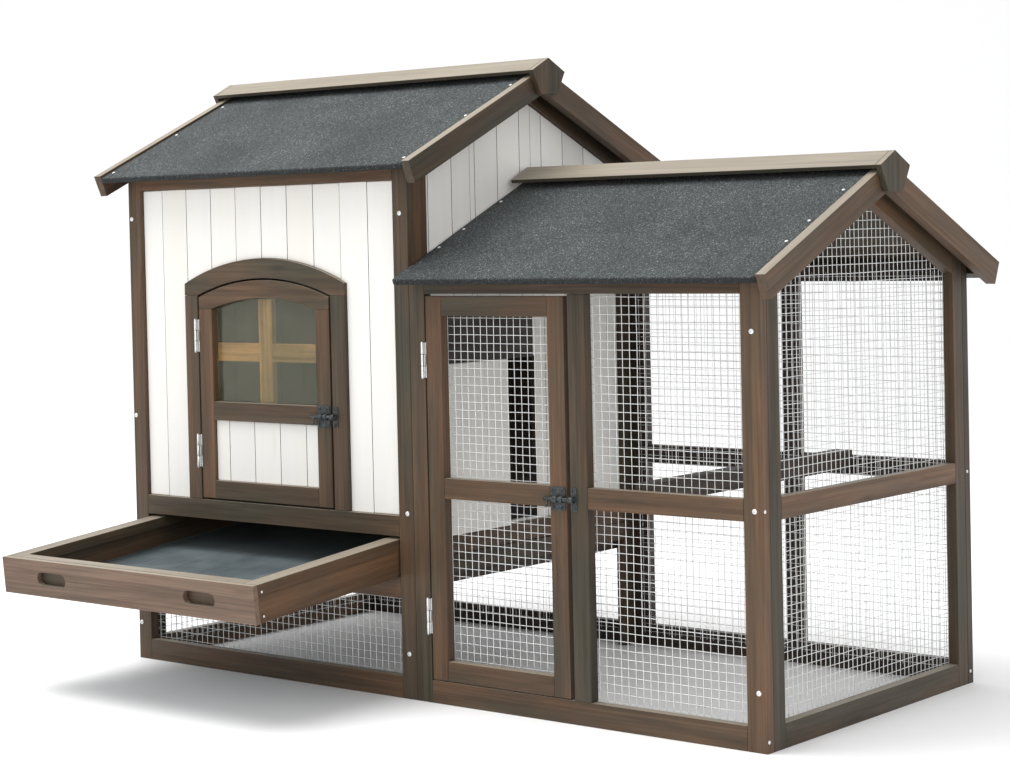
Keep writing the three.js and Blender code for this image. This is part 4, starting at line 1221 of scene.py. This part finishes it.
FACE = front_faces[0]
post_screws = [
    (x * MM, z * MM)
    for x, z in (
        (7.5, 754),
        (6, 418),
        (7, 62),
        (614.5, 750),
        (617.5, 287),
        (615, 70),
        (1242, 575),
        (1243.5, 82),
        (1242, 330),
    )
]
screws("post_screws", "coop", [((x, FACE, z), FORWARD) for x, z in post_screws])
back_screws = [(x * MM, z * MM) for x in (14, 616, 646, 1240) for z in (70, 330, 600)]
screws("back_screws", "coop", [((x, DEPTH - HALF_GAP, z), BACKWARD) for x, z in back_screws])
side_screws = [(y * MM, z * MM) for y in (32, 568) for z in (18, 198, 760)]
screws("left_side_screws", "coop", [((HALF_GAP, y, z), LEFTWARD) for y, z in side_screws])
end_places = [(4 * MM, 330 * MM), (4 * MM, 16 * MM), (590 * MM, 19 * MM), (590 * MM, 330 * MM)]
end_face = RUN_RIGHT - HALF_GAP
run_end_places = [((end_face, y, z), RIGHTWARD) for y, z in end_places]
screws("run_end_nails", "coop", run_end_places, NAIL_RADIUS)

# ---------------------------------------------------------------- hinges

LEAF_THICK = 1.1 * MM
LEAF_EDGE = 0.25 * MM
KNUCKLE_RADIUS = 1.9 * MM
KNUCKLE_GAP = 0.4 * MM
KNUCKLE_EDGE = 0.5 * MM
PIN_RADIUS = 1.0 * MM
PIN_HEAD = 1.6 * MM
AXIS_INSET = 3.6 * MM  # hinge axis from the frame hinge's left and front
LEAF_FRONT = 0.3 * MM  # the leaves lie in the joint; only a web per knuckle reaches out of it
WEB_START = 0.8 * MM  # behind the axis
WEB_END = 1.5 * MM


def knuckle_solid(bottom, top):
    """One knuckle, with its bore closed by the pin."""
    rounding = KNUCKLE_RADIUS - KNUCKLE_EDGE
    profile = [(PIN_RADIUS, bottom), (rounding, bottom), (KNUCKLE_RADIUS, bottom + KNUCKLE_EDGE)]
    profile += [(KNUCKLE_RADIUS, top - KNUCKLE_EDGE), (rounding, top), (PIN_RADIUS, top)]
    return lathe_solid([(0, bottom), *profile, (0, top)], 28)


def pin_solid(height):
    """The pin, with a peened head at each end."""
    pin = [(0, -1.2 * MM), (1.3 * MM, -1.2 * MM), (PIN_HEAD, -0.4 * MM), (PIN_HEAD, 0)]
    pin += [(PIN_RADIUS, 0), (PIN_RADIUS, height), (PIN_HEAD, height)]
    pin += [(PIN_HEAD, height + 0.5 * MM), (0, height + 1.3 * MM)]
    return lathe_solid(pin, 20)


def hinge(node, door, hinge_door_edge):
    """A butt hinge: three knuckles on one pin, a leaf let in on each side of the joint."""
    low, high = span(node)
    axis_x, axis_y = low.x + AXIS_INSET, low.y + AXIS_INSET
    axis_foot = Matrix.Translation(at(axis_x, axis_y, low.z))
    height = high.z - low.z
    third = height / 3
    fixed = Piece(node + "_fixed_leaf", "coop", "zinc", ZINC, [node])
    swinging = Piece(node + "_door_leaf", door, "zinc", ZINC)
    for index, owner in enumerate((fixed, swinging, fixed)):
        bottom, top = index * third + KNUCKLE_GAP / 2, (index + 1) * third - KNUCKLE_GAP / 2
        owner.add(knuckle_solid(bottom, top), axis_foot)
    fixed.add(pin_solid(height), axis_foot)

    web_front = axis_y + WEB_START
    fixed_left = high.x - LEAF_THICK
    add_box(fixed, (fixed_left, LEAF_FRONT, low.z), high, "z", LEAF_EDGE)
    for index in (0, 2):
        web_low = (fixed_left, web_front, low.z + index * third + KNUCKLE_GAP)
        web_high = (high.x, WEB_END, low.z + (index + 1) * third - KNUCKLE_GAP)
        add_box(fixed, web_low, web_high, "z", LEAF_EDGE)
    door_face = hinge_door_edge - HALF_GAP
    door_left = hinge_door_edge - LEAF_THICK - HALF_GAP
    web_low = (door_left, web_front, low.z + third + KNUCKLE_GAP)
    web_high = (door_face, high.y, low.z + 2 * third - KNUCKLE_GAP)
    add_box(swinging, web_low, web_high, "z", LEAF_EDGE)
    add_box(swinging, (door_left, LEAF_FRONT, low.z), (door_face, high.y, high.z), "z", LEAF_EDGE)
    fixed.build()
    swinging.build()


for level_name in ("upper", "lower"):
    hinge("house_door_hinge_" + level_name, "house_door", leaf_low.x)
    hinge("run_door_hinge_" + level_name, "run_door", door_low.x)

# ---------------------------------------------------------------- latches

BOLT_RADIUS = 3 * MM
BOLT_NOSE = 1 * MM
BARREL_RADIUS, BARREL_BORE = BOLT_RADIUS + 1.9 * MM, BOLT_RADIUS + 0.5 * MM
BARREL_LENGTH = 6.5 * MM
LATCH_THICK = 1.5 * MM
LATCH_CORNER = 3 * MM
LATCH_SCREW_RADIUS = 2.9 * MM
LATCH_SCREW_OFFSET = 13 * MM  # from the plate's middle, up and down
RIB_OFFSET, RIB_HALF = 8.2 * MM, 0.9 * MM
KNOB_ALONG_BOLT = 8 * MM
KNOB_LEAN = math.radians(70)


def barrel(piece, left, right, axis_y, height):
    """A tube along x, flattened against its plate, that the bolt slides in."""
    bm = bmesh.new()
    rings = []
    for x, bore in ((left, False), (right, False), (right, True), (left, True)):
        radius = BARREL_BORE if bore else BARREL_RADIUS
        ring = []
        for c, s in round_steps(24):
            y, z = radius * c, radius * s
            if not bore and y > 0:
                y = min(y * 2, -axis_y - 0.4 * MM)
                z = max(-BARREL_RADIUS, min(BARREL_RADIUS, z * 1.15))
            ring.append(bm.verts.new((x, y, z)))
        rings.append(ring)
    join_rings(bm, rings + rings[:1])
    bmesh.ops.recalc_face_normals(bm, faces=bm.faces)
    piece.add(rounded(bm, 0.3 * MM), Matrix.Translation(at(0, axis_y, height)), turned_grain(0))


def latch_plate(piece, low, high, screw_columns):
    """A stamped plate with rounded corners, a pressed rib above and below its middle, and its screws."""
    corner, steps = LATCH_CORNER, 5
    outline = []
    for turn, (u, v) in enumerate(((high.x, high.z), (low.x, high.z), (low.x, low.z), (high.x, low.z))):
        centre_u = u - corner if u == high.x else u + corner
        centre_v = v - corner if v == high.z else v + corner
        for step in range(steps + 1):
            angle = math.pi / 2 * (turn + step / steps)
            outline.append((centre_u + corner * math.cos(angle), centre_v + corner * math.sin(angle)))
    piece.add(prism(outline, LATCH_THICK, 0.35 * MM), front_plane(-LATCH_THICK), turned_grain(0))
    middle = (low.z + high.z) / 2
    for way in (1, -1):
        rib = middle + way * RIB_OFFSET
        rib_low = (low.x + 2 * MM, -LATCH_THICK - 0.7 * MM, rib - RIB_HALF)
        rib_high = (high.x - 2 * MM, -LATCH_THICK + 0.1 * MM, rib + RIB_HALF)
        add_box(piece, rib_low, rib_high, "x", 0.4 * MM)
        for x in screw_columns:
            spot = at(x, -LATCH_THICK, middle + way * LATCH_SCREW_OFFSET)
            head = screw_solid(LATCH_SCREW_RADIUS, piece.random.uniform(0, math.pi))
            piece.add(head, turned_to(FORWARD, spot))


def latch(prefix, door, bolt_body):
    """A slide bolt drawn just clear of its keeper."""
    plate_low, plate_high = span(prefix + "_latch_plate")
    keeper_low, keeper_high = span(prefix + "_latch_keeper")
    bolt_low, bolt_high = span(prefix + "_latch_bolt")
    height = (plate_low.z + plate_high.z) / 2
    axis_y = plate_low.y + 2 * MM - HALF_GAP + BOLT_RADIUS
    plate = Piece(prefix + "_bolt_plate", door, "black_metal", BLACK, [prefix + "_latch_plate"])
    guide_left = plate_high.x - 17 * MM
    latch_plate(plate, plate_low, plate_high, (plate_low.x + 5 * MM, plate_high.x - 5 * MM))
    barrel(plate, guide_left, guide_left + BARREL_LENGTH, axis_y, height)
    barrel(plate, plate_high.x - 7 * MM, plate_high.x - 0.5 * MM, axis_y, height)
    plate.build()

    keeper = Piece(prefix + "_bolt_keeper", "coop", "black_metal", BLACK, [prefix + "_latch_keeper"])
    latch_plate(keeper, keeper_low, keeper_high, ((keeper_low.x + keeper_high.x) / 2,))
    barrel(keeper, keeper_low.x + MM, keeper_high.x - 2 * MM, axis_y, height)
    keeper.build()

    bolt = Piece(prefix + "_bolt", bolt_body, "black_metal", BLACK, [prefix + "_latch_bolt"])
    length = bolt_high.x - bolt_low.x
    tip = BOLT_RADIUS - BOLT_NOSE
    profile = [(0, 0), (tip, 0), (BOLT_RADIUS, BOLT_NOSE), (BOLT_RADIUS, length - BOLT_NOSE)]
    profile += [(tip, length), (0, length)]
    bolt.add(lathe_solid(profile, 24), turned_to(RIGHTWARD, at(bolt_low.x, axis_y, height)))
    direction = Vector((0, -math.cos(KNOB_LEAN), -math.sin(KNOB_LEAN)))
    knob = [(0, 0), (2.0 * MM, 0), (1.7 * MM, 6 * MM), (1.9 * MM, 9 * MM)]
    knob += [(2.3 * MM, 11 * MM), (1.9 * MM, 12.6 * MM), (0, 13 * MM)]
    knob_foot = at(bolt_low.x + KNOB_ALONG_BOLT, axis_y, height)
    bolt.add(lathe_solid(knob, 20), turned_to(direction, knob_foot))
    bolt.build()


latch("house_door", "house_door", "house_door_bolt")
latch("run_door", "run_door", "run_door_bolt")

# ---------------------------------------------------------------- roofs

FELT_THICK = 2.4 * MM
SHEATHING = 5.6 * MM
SHEET_THICK = 9 * MM
SLOPE_FACTOR = math.hypot(1, ROOF_SLOPE)
EAVE_LENGTH = (RIDGE_Y + 40 * MM) * SLOPE_FACTOR  # down the slope, from the ridge to the eave


def slope_place(ridge_height, side):
    """u runs down the slope from the ridge, v along x and w out of the roof. side is 1 for the front."""
    c, s = math.cos(ROOF_ANGLE), math.sin(ROOF_ANGLE)
    columns = Matrix(((0, 1, 0, 0), (-side * c, 0, -side * s, 0), (-s, 0, c, 0), (0, 0, 0, 1)))
    return Matrix.Translation(at(0, RIDGE_Y, ridge_height)) @ columns


FOLD = 3 * MM  # radius of the felt's bend over the eave
FELT_DROP = SHEET_THICK - 0.3 * MM


def felt_section(length):
    """Points (u, w, share) round the felt's section: share is how much a point swells."""
    flat = length - FOLD
    steps = 34
    outer = [(flat * step / steps, 0.0, 1.0) for step in range(steps + 1)]
    for step in range(1, 5):
        angle = math.pi / 2 * step / 4
        outer.append((flat + FOLD * math.sin(angle), -FOLD + FOLD * math.cos(angle), 1.0))
    for step in (1, 2):
        outer.append((length, -FOLD - (FELT_DROP - FOLD) * step / 2, 0.4))
    reach = max(FOLD - FELT_THICK, 0.4 * MM)
    inner = []
    for u, w, share in outer:
        if u <= flat:
            inner.append((u, w - FELT_THICK, share))
        else:
            turn = math.atan2(u - flat, w + FOLD) if w > -FOLD else math.pi / 2
            low = w if w < -FOLD else -FOLD + reach * math.cos(turn)
            inner.append((flat + reach * math.sin(turn), low, share))
    return outer + inner[::-1]


def felt_point(x, u, w, share, seed):
    """A point of the section at x, moved by the felt's swelling and its frayed edge."""
    broad = 0.55 * noise.noise(Vector((x * 7, u * 7, seed)))
    swell = broad + 0.3 * noise.noise(Vector((x * 24, u * 24, seed)))
    fray = 0.5 * noise.noise(Vector((x * 60, seed, 0))) if w < -FOLD * 1.5 else 0.0
    lifted = w + (share * swell * 0.9 - 0.5) * MM * min(1.0, u / (20 * MM)) + fray * MM
    return (u - abs(share * swell) * 0.2 * MM, x, lifted)


def felt_solid(length, left, right, seed):
    """Felt over one slope, turned down over the eave. It swells and dips a little, as felt does."""
    section = felt_section(length)
    bm = bmesh.new()
    columns = 60
    rings = []
    for column in range(columns + 1):
        x = left + (right - left) * column / columns
        rings.append([bm.verts.new(felt_point(x, *point, seed)) for point in section])
    join_rings(bm, rings, smooth=True)
    count = len(section)
    for ring in (rings[0], rings[-1]):
        for index in range(count // 2 - 1):
            across = (ring[count - 2 - index], ring[count - 1 - index])
            bm.faces.new((ring[index], ring[index + 1], *across))
    bmesh.ops.recalc_face_normals(bm, faces=bm.faces)
    return bm


def slope_grain(side):
    """Grain along the slope of a board that follows the roof."""
    c, s = math.cos(ROOF_ANGLE), math.sin(ROOF_ANGLE)
    return Matrix(((0, c, side * s), (1, 0, 0), (0, -side * s, c)))


def roof(prefix, felt_ridge, barges):
    """Felted boards on both slopes, barge boards at the ends and a two-board ridge cap with end plates."""
    reach = RIDGE_Y - span(prefix + "_roof_front")[0].y
    length = reach * SLOPE_FACTOR
    for seed, (side_name, side) in enumerate((("front", 1), ("back", -1))):
        node = f"{prefix}_roof_{side_name}"
        low, high = span(node)
        place = slope_place(felt_ridge, side)
        felt = Piece(f"{prefix}_felt_{side_name}", "coop", "roof_felt", FELT, [node])
        # The felt turned down over the eave takes a tone that darkens it: partly bare bitumen, partly
        # painted shade.
        felt.add(
            felt_solid(length, low.x, high.x, seed * 5.3 + len(prefix)),
            place,
            shade=lambda point: max(0.0, min(1.0, (-point.z - 0.3 * MM) / (1.2 * MM))),
        )
        felt.build()
        # The roof boards take the dark inside brown: painted shade under the roof.
        sheathing = Piece(f"{prefix}_sheathing_{side_name}", "coop", "frame_wood", INSIDE_SHADE)
        start, end = 6 * MM, length - 3.4 * MM
        under = -SHEET_THICK
        bm = prism(rectangle(end - start, high.x - low.x), SHEATHING, 0.5 * MM)
        lie = place @ Matrix.Translation((start, low.x, under))
        sheathing.add(bm, lie, turned_grain(math.pi / 2))
        sheathing.build()
        for end_name in barges:
            barge_node = f"{prefix}_barge_{side_name}_{end_name}"
            whittle(barge_node, slope_grain(side))
    build_cap(prefix, "left" in barges)


CAP_THICK = 6 * MM
CAP_HALF_WIDTH = 43 * MM
CAP_SLOPE = 0.5
CAP_ANGLE = math.atan(CAP_SLOPE)
PLATE_THICK = 9.5 * MM
PLATE_HEIGHT = 59.3 * MM
PLATE_FOOT = 22 * MM


def build_cap(prefix, plated_left):
    """Two cap boards over the ridge, and a shield-shaped plate that closes each outer end."""
    node = prefix + "_ridge_cap"
    low, high = span(node)
    apex = high.z
    factor = math.hypot(1, CAP_SLOPE)
    under = CAP_HALF_WIDTH - CAP_THICK * CAP_SLOPE / factor
    boards_left = low.x + (PLATE_THICK if plated_left else 0)
    boards_right = high.x - PLATE_THICK
    cap = Piece(prefix + "_cap_boards", "coop", "cap_wood", CAP_WOOD, [node])
    c, s = math.cos(CAP_ANGLE), math.sin(CAP_ANGLE)
    for side in (1, -1):
        ridge = 0.2 * MM
        outline = [
            (ridge, apex - CAP_SLOPE * ridge),
            (CAP_HALF_WIDTH, apex - CAP_SLOPE * CAP_HALF_WIDTH),
            (under, apex - CAP_SLOPE * under - CAP_THICK * factor),
            (ridge, apex - CAP_SLOPE * ridge - CAP_THICK * factor),
        ]
        placed = [(RIDGE_Y - side * out, height) for out, height in outline]
        along_x = Matrix(((0, 0, 1), (c, side * s, 0), (-side * s, c, 0)))
        member_side(cap, placed, boards_left, boards_right, along_x, 0.7 * MM)
    cap.build()
    shield = [
        (RIDGE_Y - PLATE_FOOT, apex - PLATE_HEIGHT),
        (RIDGE_Y + PLATE_FOOT, apex - PLATE_HEIGHT),
        (RIDGE_Y + CAP_HALF_WIDTH, apex - CAP_SLOPE * CAP_HALF_WIDTH),
        (RIDGE_Y, apex),
        (RIDGE_Y - CAP_HALF_WIDTH, apex - CAP_SLOPE * CAP_HALF_WIDTH),
    ]
    plates = Piece(prefix + "_cap_end_plates", "coop", "cap_wood", WOOD)
    member_side(plates, shield, boards_right + SEAT, high.x, "v", 0.7 * MM)
    if plated_left:
        member_side(plates, shield, low.x, boards_left - SEAT, "v", 0.7 * MM)
    plates.build()


HOUSE_FELT_RIDGE = 977.5 * MM
RUN_FELT_RIDGE = 802.6 * MM
roof("house", HOUSE_FELT_RIDGE, ("left", "right"))
roof("run", RUN_FELT_RIDGE, ("right",))


def felt_nails(name, felt_ridge, places):
    """Clout nails through the felt: x, share of the way from the ridge to the eave, and side."""
    piece = Piece(name, "coop", "zinc", ZINC)
    for x, share, side in places:
        spot = Matrix.Translation((EAVE_LENGTH * share, x, 0.1 * MM))
        place = slope_place(felt_ridge, side) @ spot
        piece.add(nail_solid(NAIL_RADIUS), place)
    return piece.build()


felt_nails(
    "house_felt_nails",
    HOUSE_FELT_RIDGE,
    [(x * MM, share, side) for side in (1, -1) for x in (-14, 644) for share in (0.16, 0.5, 0.94)],
)
felt_nails(
    "run_felt_nails",
    RUN_FELT_RIDGE,
    [(x * MM, share, side) for side in (1, -1) for x in (641, 1262) for share in (0.24, 0.52, 0.7)],
)

for prefix, ridge in (("house", HOUSE_FELT_RIDGE), ("run", RUN_FELT_RIDGE)):
    left, right = (corner.x for corner in span(prefix + "_roof_back"))
    batten = Piece(prefix + "_eave_batten", "coop", "frame_wood", SHADED_WOOD)
    bm = prism(rectangle(18 * MM, right - left - 2 * MM), 17 * MM, EDGE)
    under_sheet = (EAVE_LENGTH - 26 * MM, left + MM, -SHEET_THICK - 17.3 * MM)
    lie = slope_place(ridge, -1) @ Matrix.Translation(under_sheet)
    batten.add(bm, lie, turned_grain(math.pi / 2))
    batten.build()

# ---------------------------------------------------------------- studio


def studio():
    """A pale floor that curves up into a backdrop, soft lights overhead and in front, and a bright sky."""
    wide, near, far, tall, bend = 14.0, -9.0, 7.0, 7.0, 2.5
    bm = bmesh.new()
    section = [(near, 0.0), (far - bend, 0.0)]
    for step in range(1, 13):
        angle = math.pi / 2 * step / 12
        section.append((far - bend + bend * math.sin(angle), bend - bend * math.cos(angle)))
    section.append((far, tall))
    rings = [[bm.verts.new((x, y, z)) for y, z in section] for x in (-wide, wide)]
    for (a, b), (c, d) in zip(zip(rings[0], rings[0][1:]), zip(rings[1], rings[1][1:])):
        face = bm.faces.new((a, b, d, c))
        face.smooth = True
    bmesh.ops.recalc_face_normals(bm, faces=bm.faces)
    mesh = bpy.data.meshes.new("studio_floor")
    bm.to_mesh(mesh)
    bm.free()
    mesh.materials.append(studio_floor("studio_paper"))
    floor = in_scene("studio_floor", mesh)
    floor.matrix_world = Matrix.Rotation(CAMERA_YAW, 4, "Z")

    world = bpy.data.worlds.new("studio_sky")
    world.use_nodes = True
    sky = world.node_tree.nodes["Background"]
    sky.inputs["Color"].default_value = (1.0, 1.0, 1.0, 1.0)
    sky.inputs["Strength"].default_value = 0.9
    bpy.context.scene.world = world

    for name, place, size, power in (
        ("overhead_softbox", (-1.0, -0.8, 4.1), 3.0, 170.0),
        ("front_softbox", (0.6, -4.6, 2.2), 3.0, 34.0),
        ("side_softbox", (4.4, -0.6, 1.9), 2.4, 25.0),
    ):
        light = bpy.data.lights.new(name, "AREA")
        light.size = size
        light.energy = power
        made = in_scene(name, light)
        made.location = place
        aim = Vector((0.0, 0.0, 0.4)) - Vector(place)
        made.rotation_euler = aim.to_track_quat("-Z", "Y").to_euler()


CAMERA_YAW = math.radians(40.99)  # turned left from looking along +Y
CAMERA_PITCH = math.radians(1.41)  # looking down
CAMERA_ROLL = math.radians(-1.31)
CAMERA_PLACE = (2889.66 * MM, -2610.71 * MM, 715.72 * MM)
CAMERA_LENS = 80.36  # mm, on a sensor 36 mm wide
CAMERA_SHIFT = (0.0999, -0.0922)  # in sensor widths


def make_camera():
    forward = Vector(
        (
            -math.sin(CAMERA_YAW) * math.cos(CAMERA_PITCH),
            math.cos(CAMERA_YAW) * math.cos(CAMERA_PITCH),
            -math.sin(CAMERA_PITCH),
        )
    )
    level_right = Vector((math.cos(CAMERA_YAW), math.sin(CAMERA_YAW), 0))
    level_up = level_right.cross(forward)
    c, s = math.cos(CAMERA_ROLL), math.sin(CAMERA_ROLL)
    right = level_right * c + level_up * s
    up = level_up * c - level_right * s
    lens = bpy.data.cameras.new("camera")
    lens.sensor_width = 36.0
    lens.lens = CAMERA_LENS
    lens.shift_x, lens.shift_y = CAMERA_SHIFT
    lens.clip_start = 0.1
    lens.clip_end = 60.0
    camera = in_scene("camera", lens)
    turn = Matrix((right, up, -forward)).transposed().to_4x4()
    camera.matrix_world = Matrix.Translation(at(*CAMERA_PLACE)) @ turn
    bpy.context.scene.camera = camera


make_camera()
studio()
bpy.context.scene.view_settings.view_transform = "Standard"
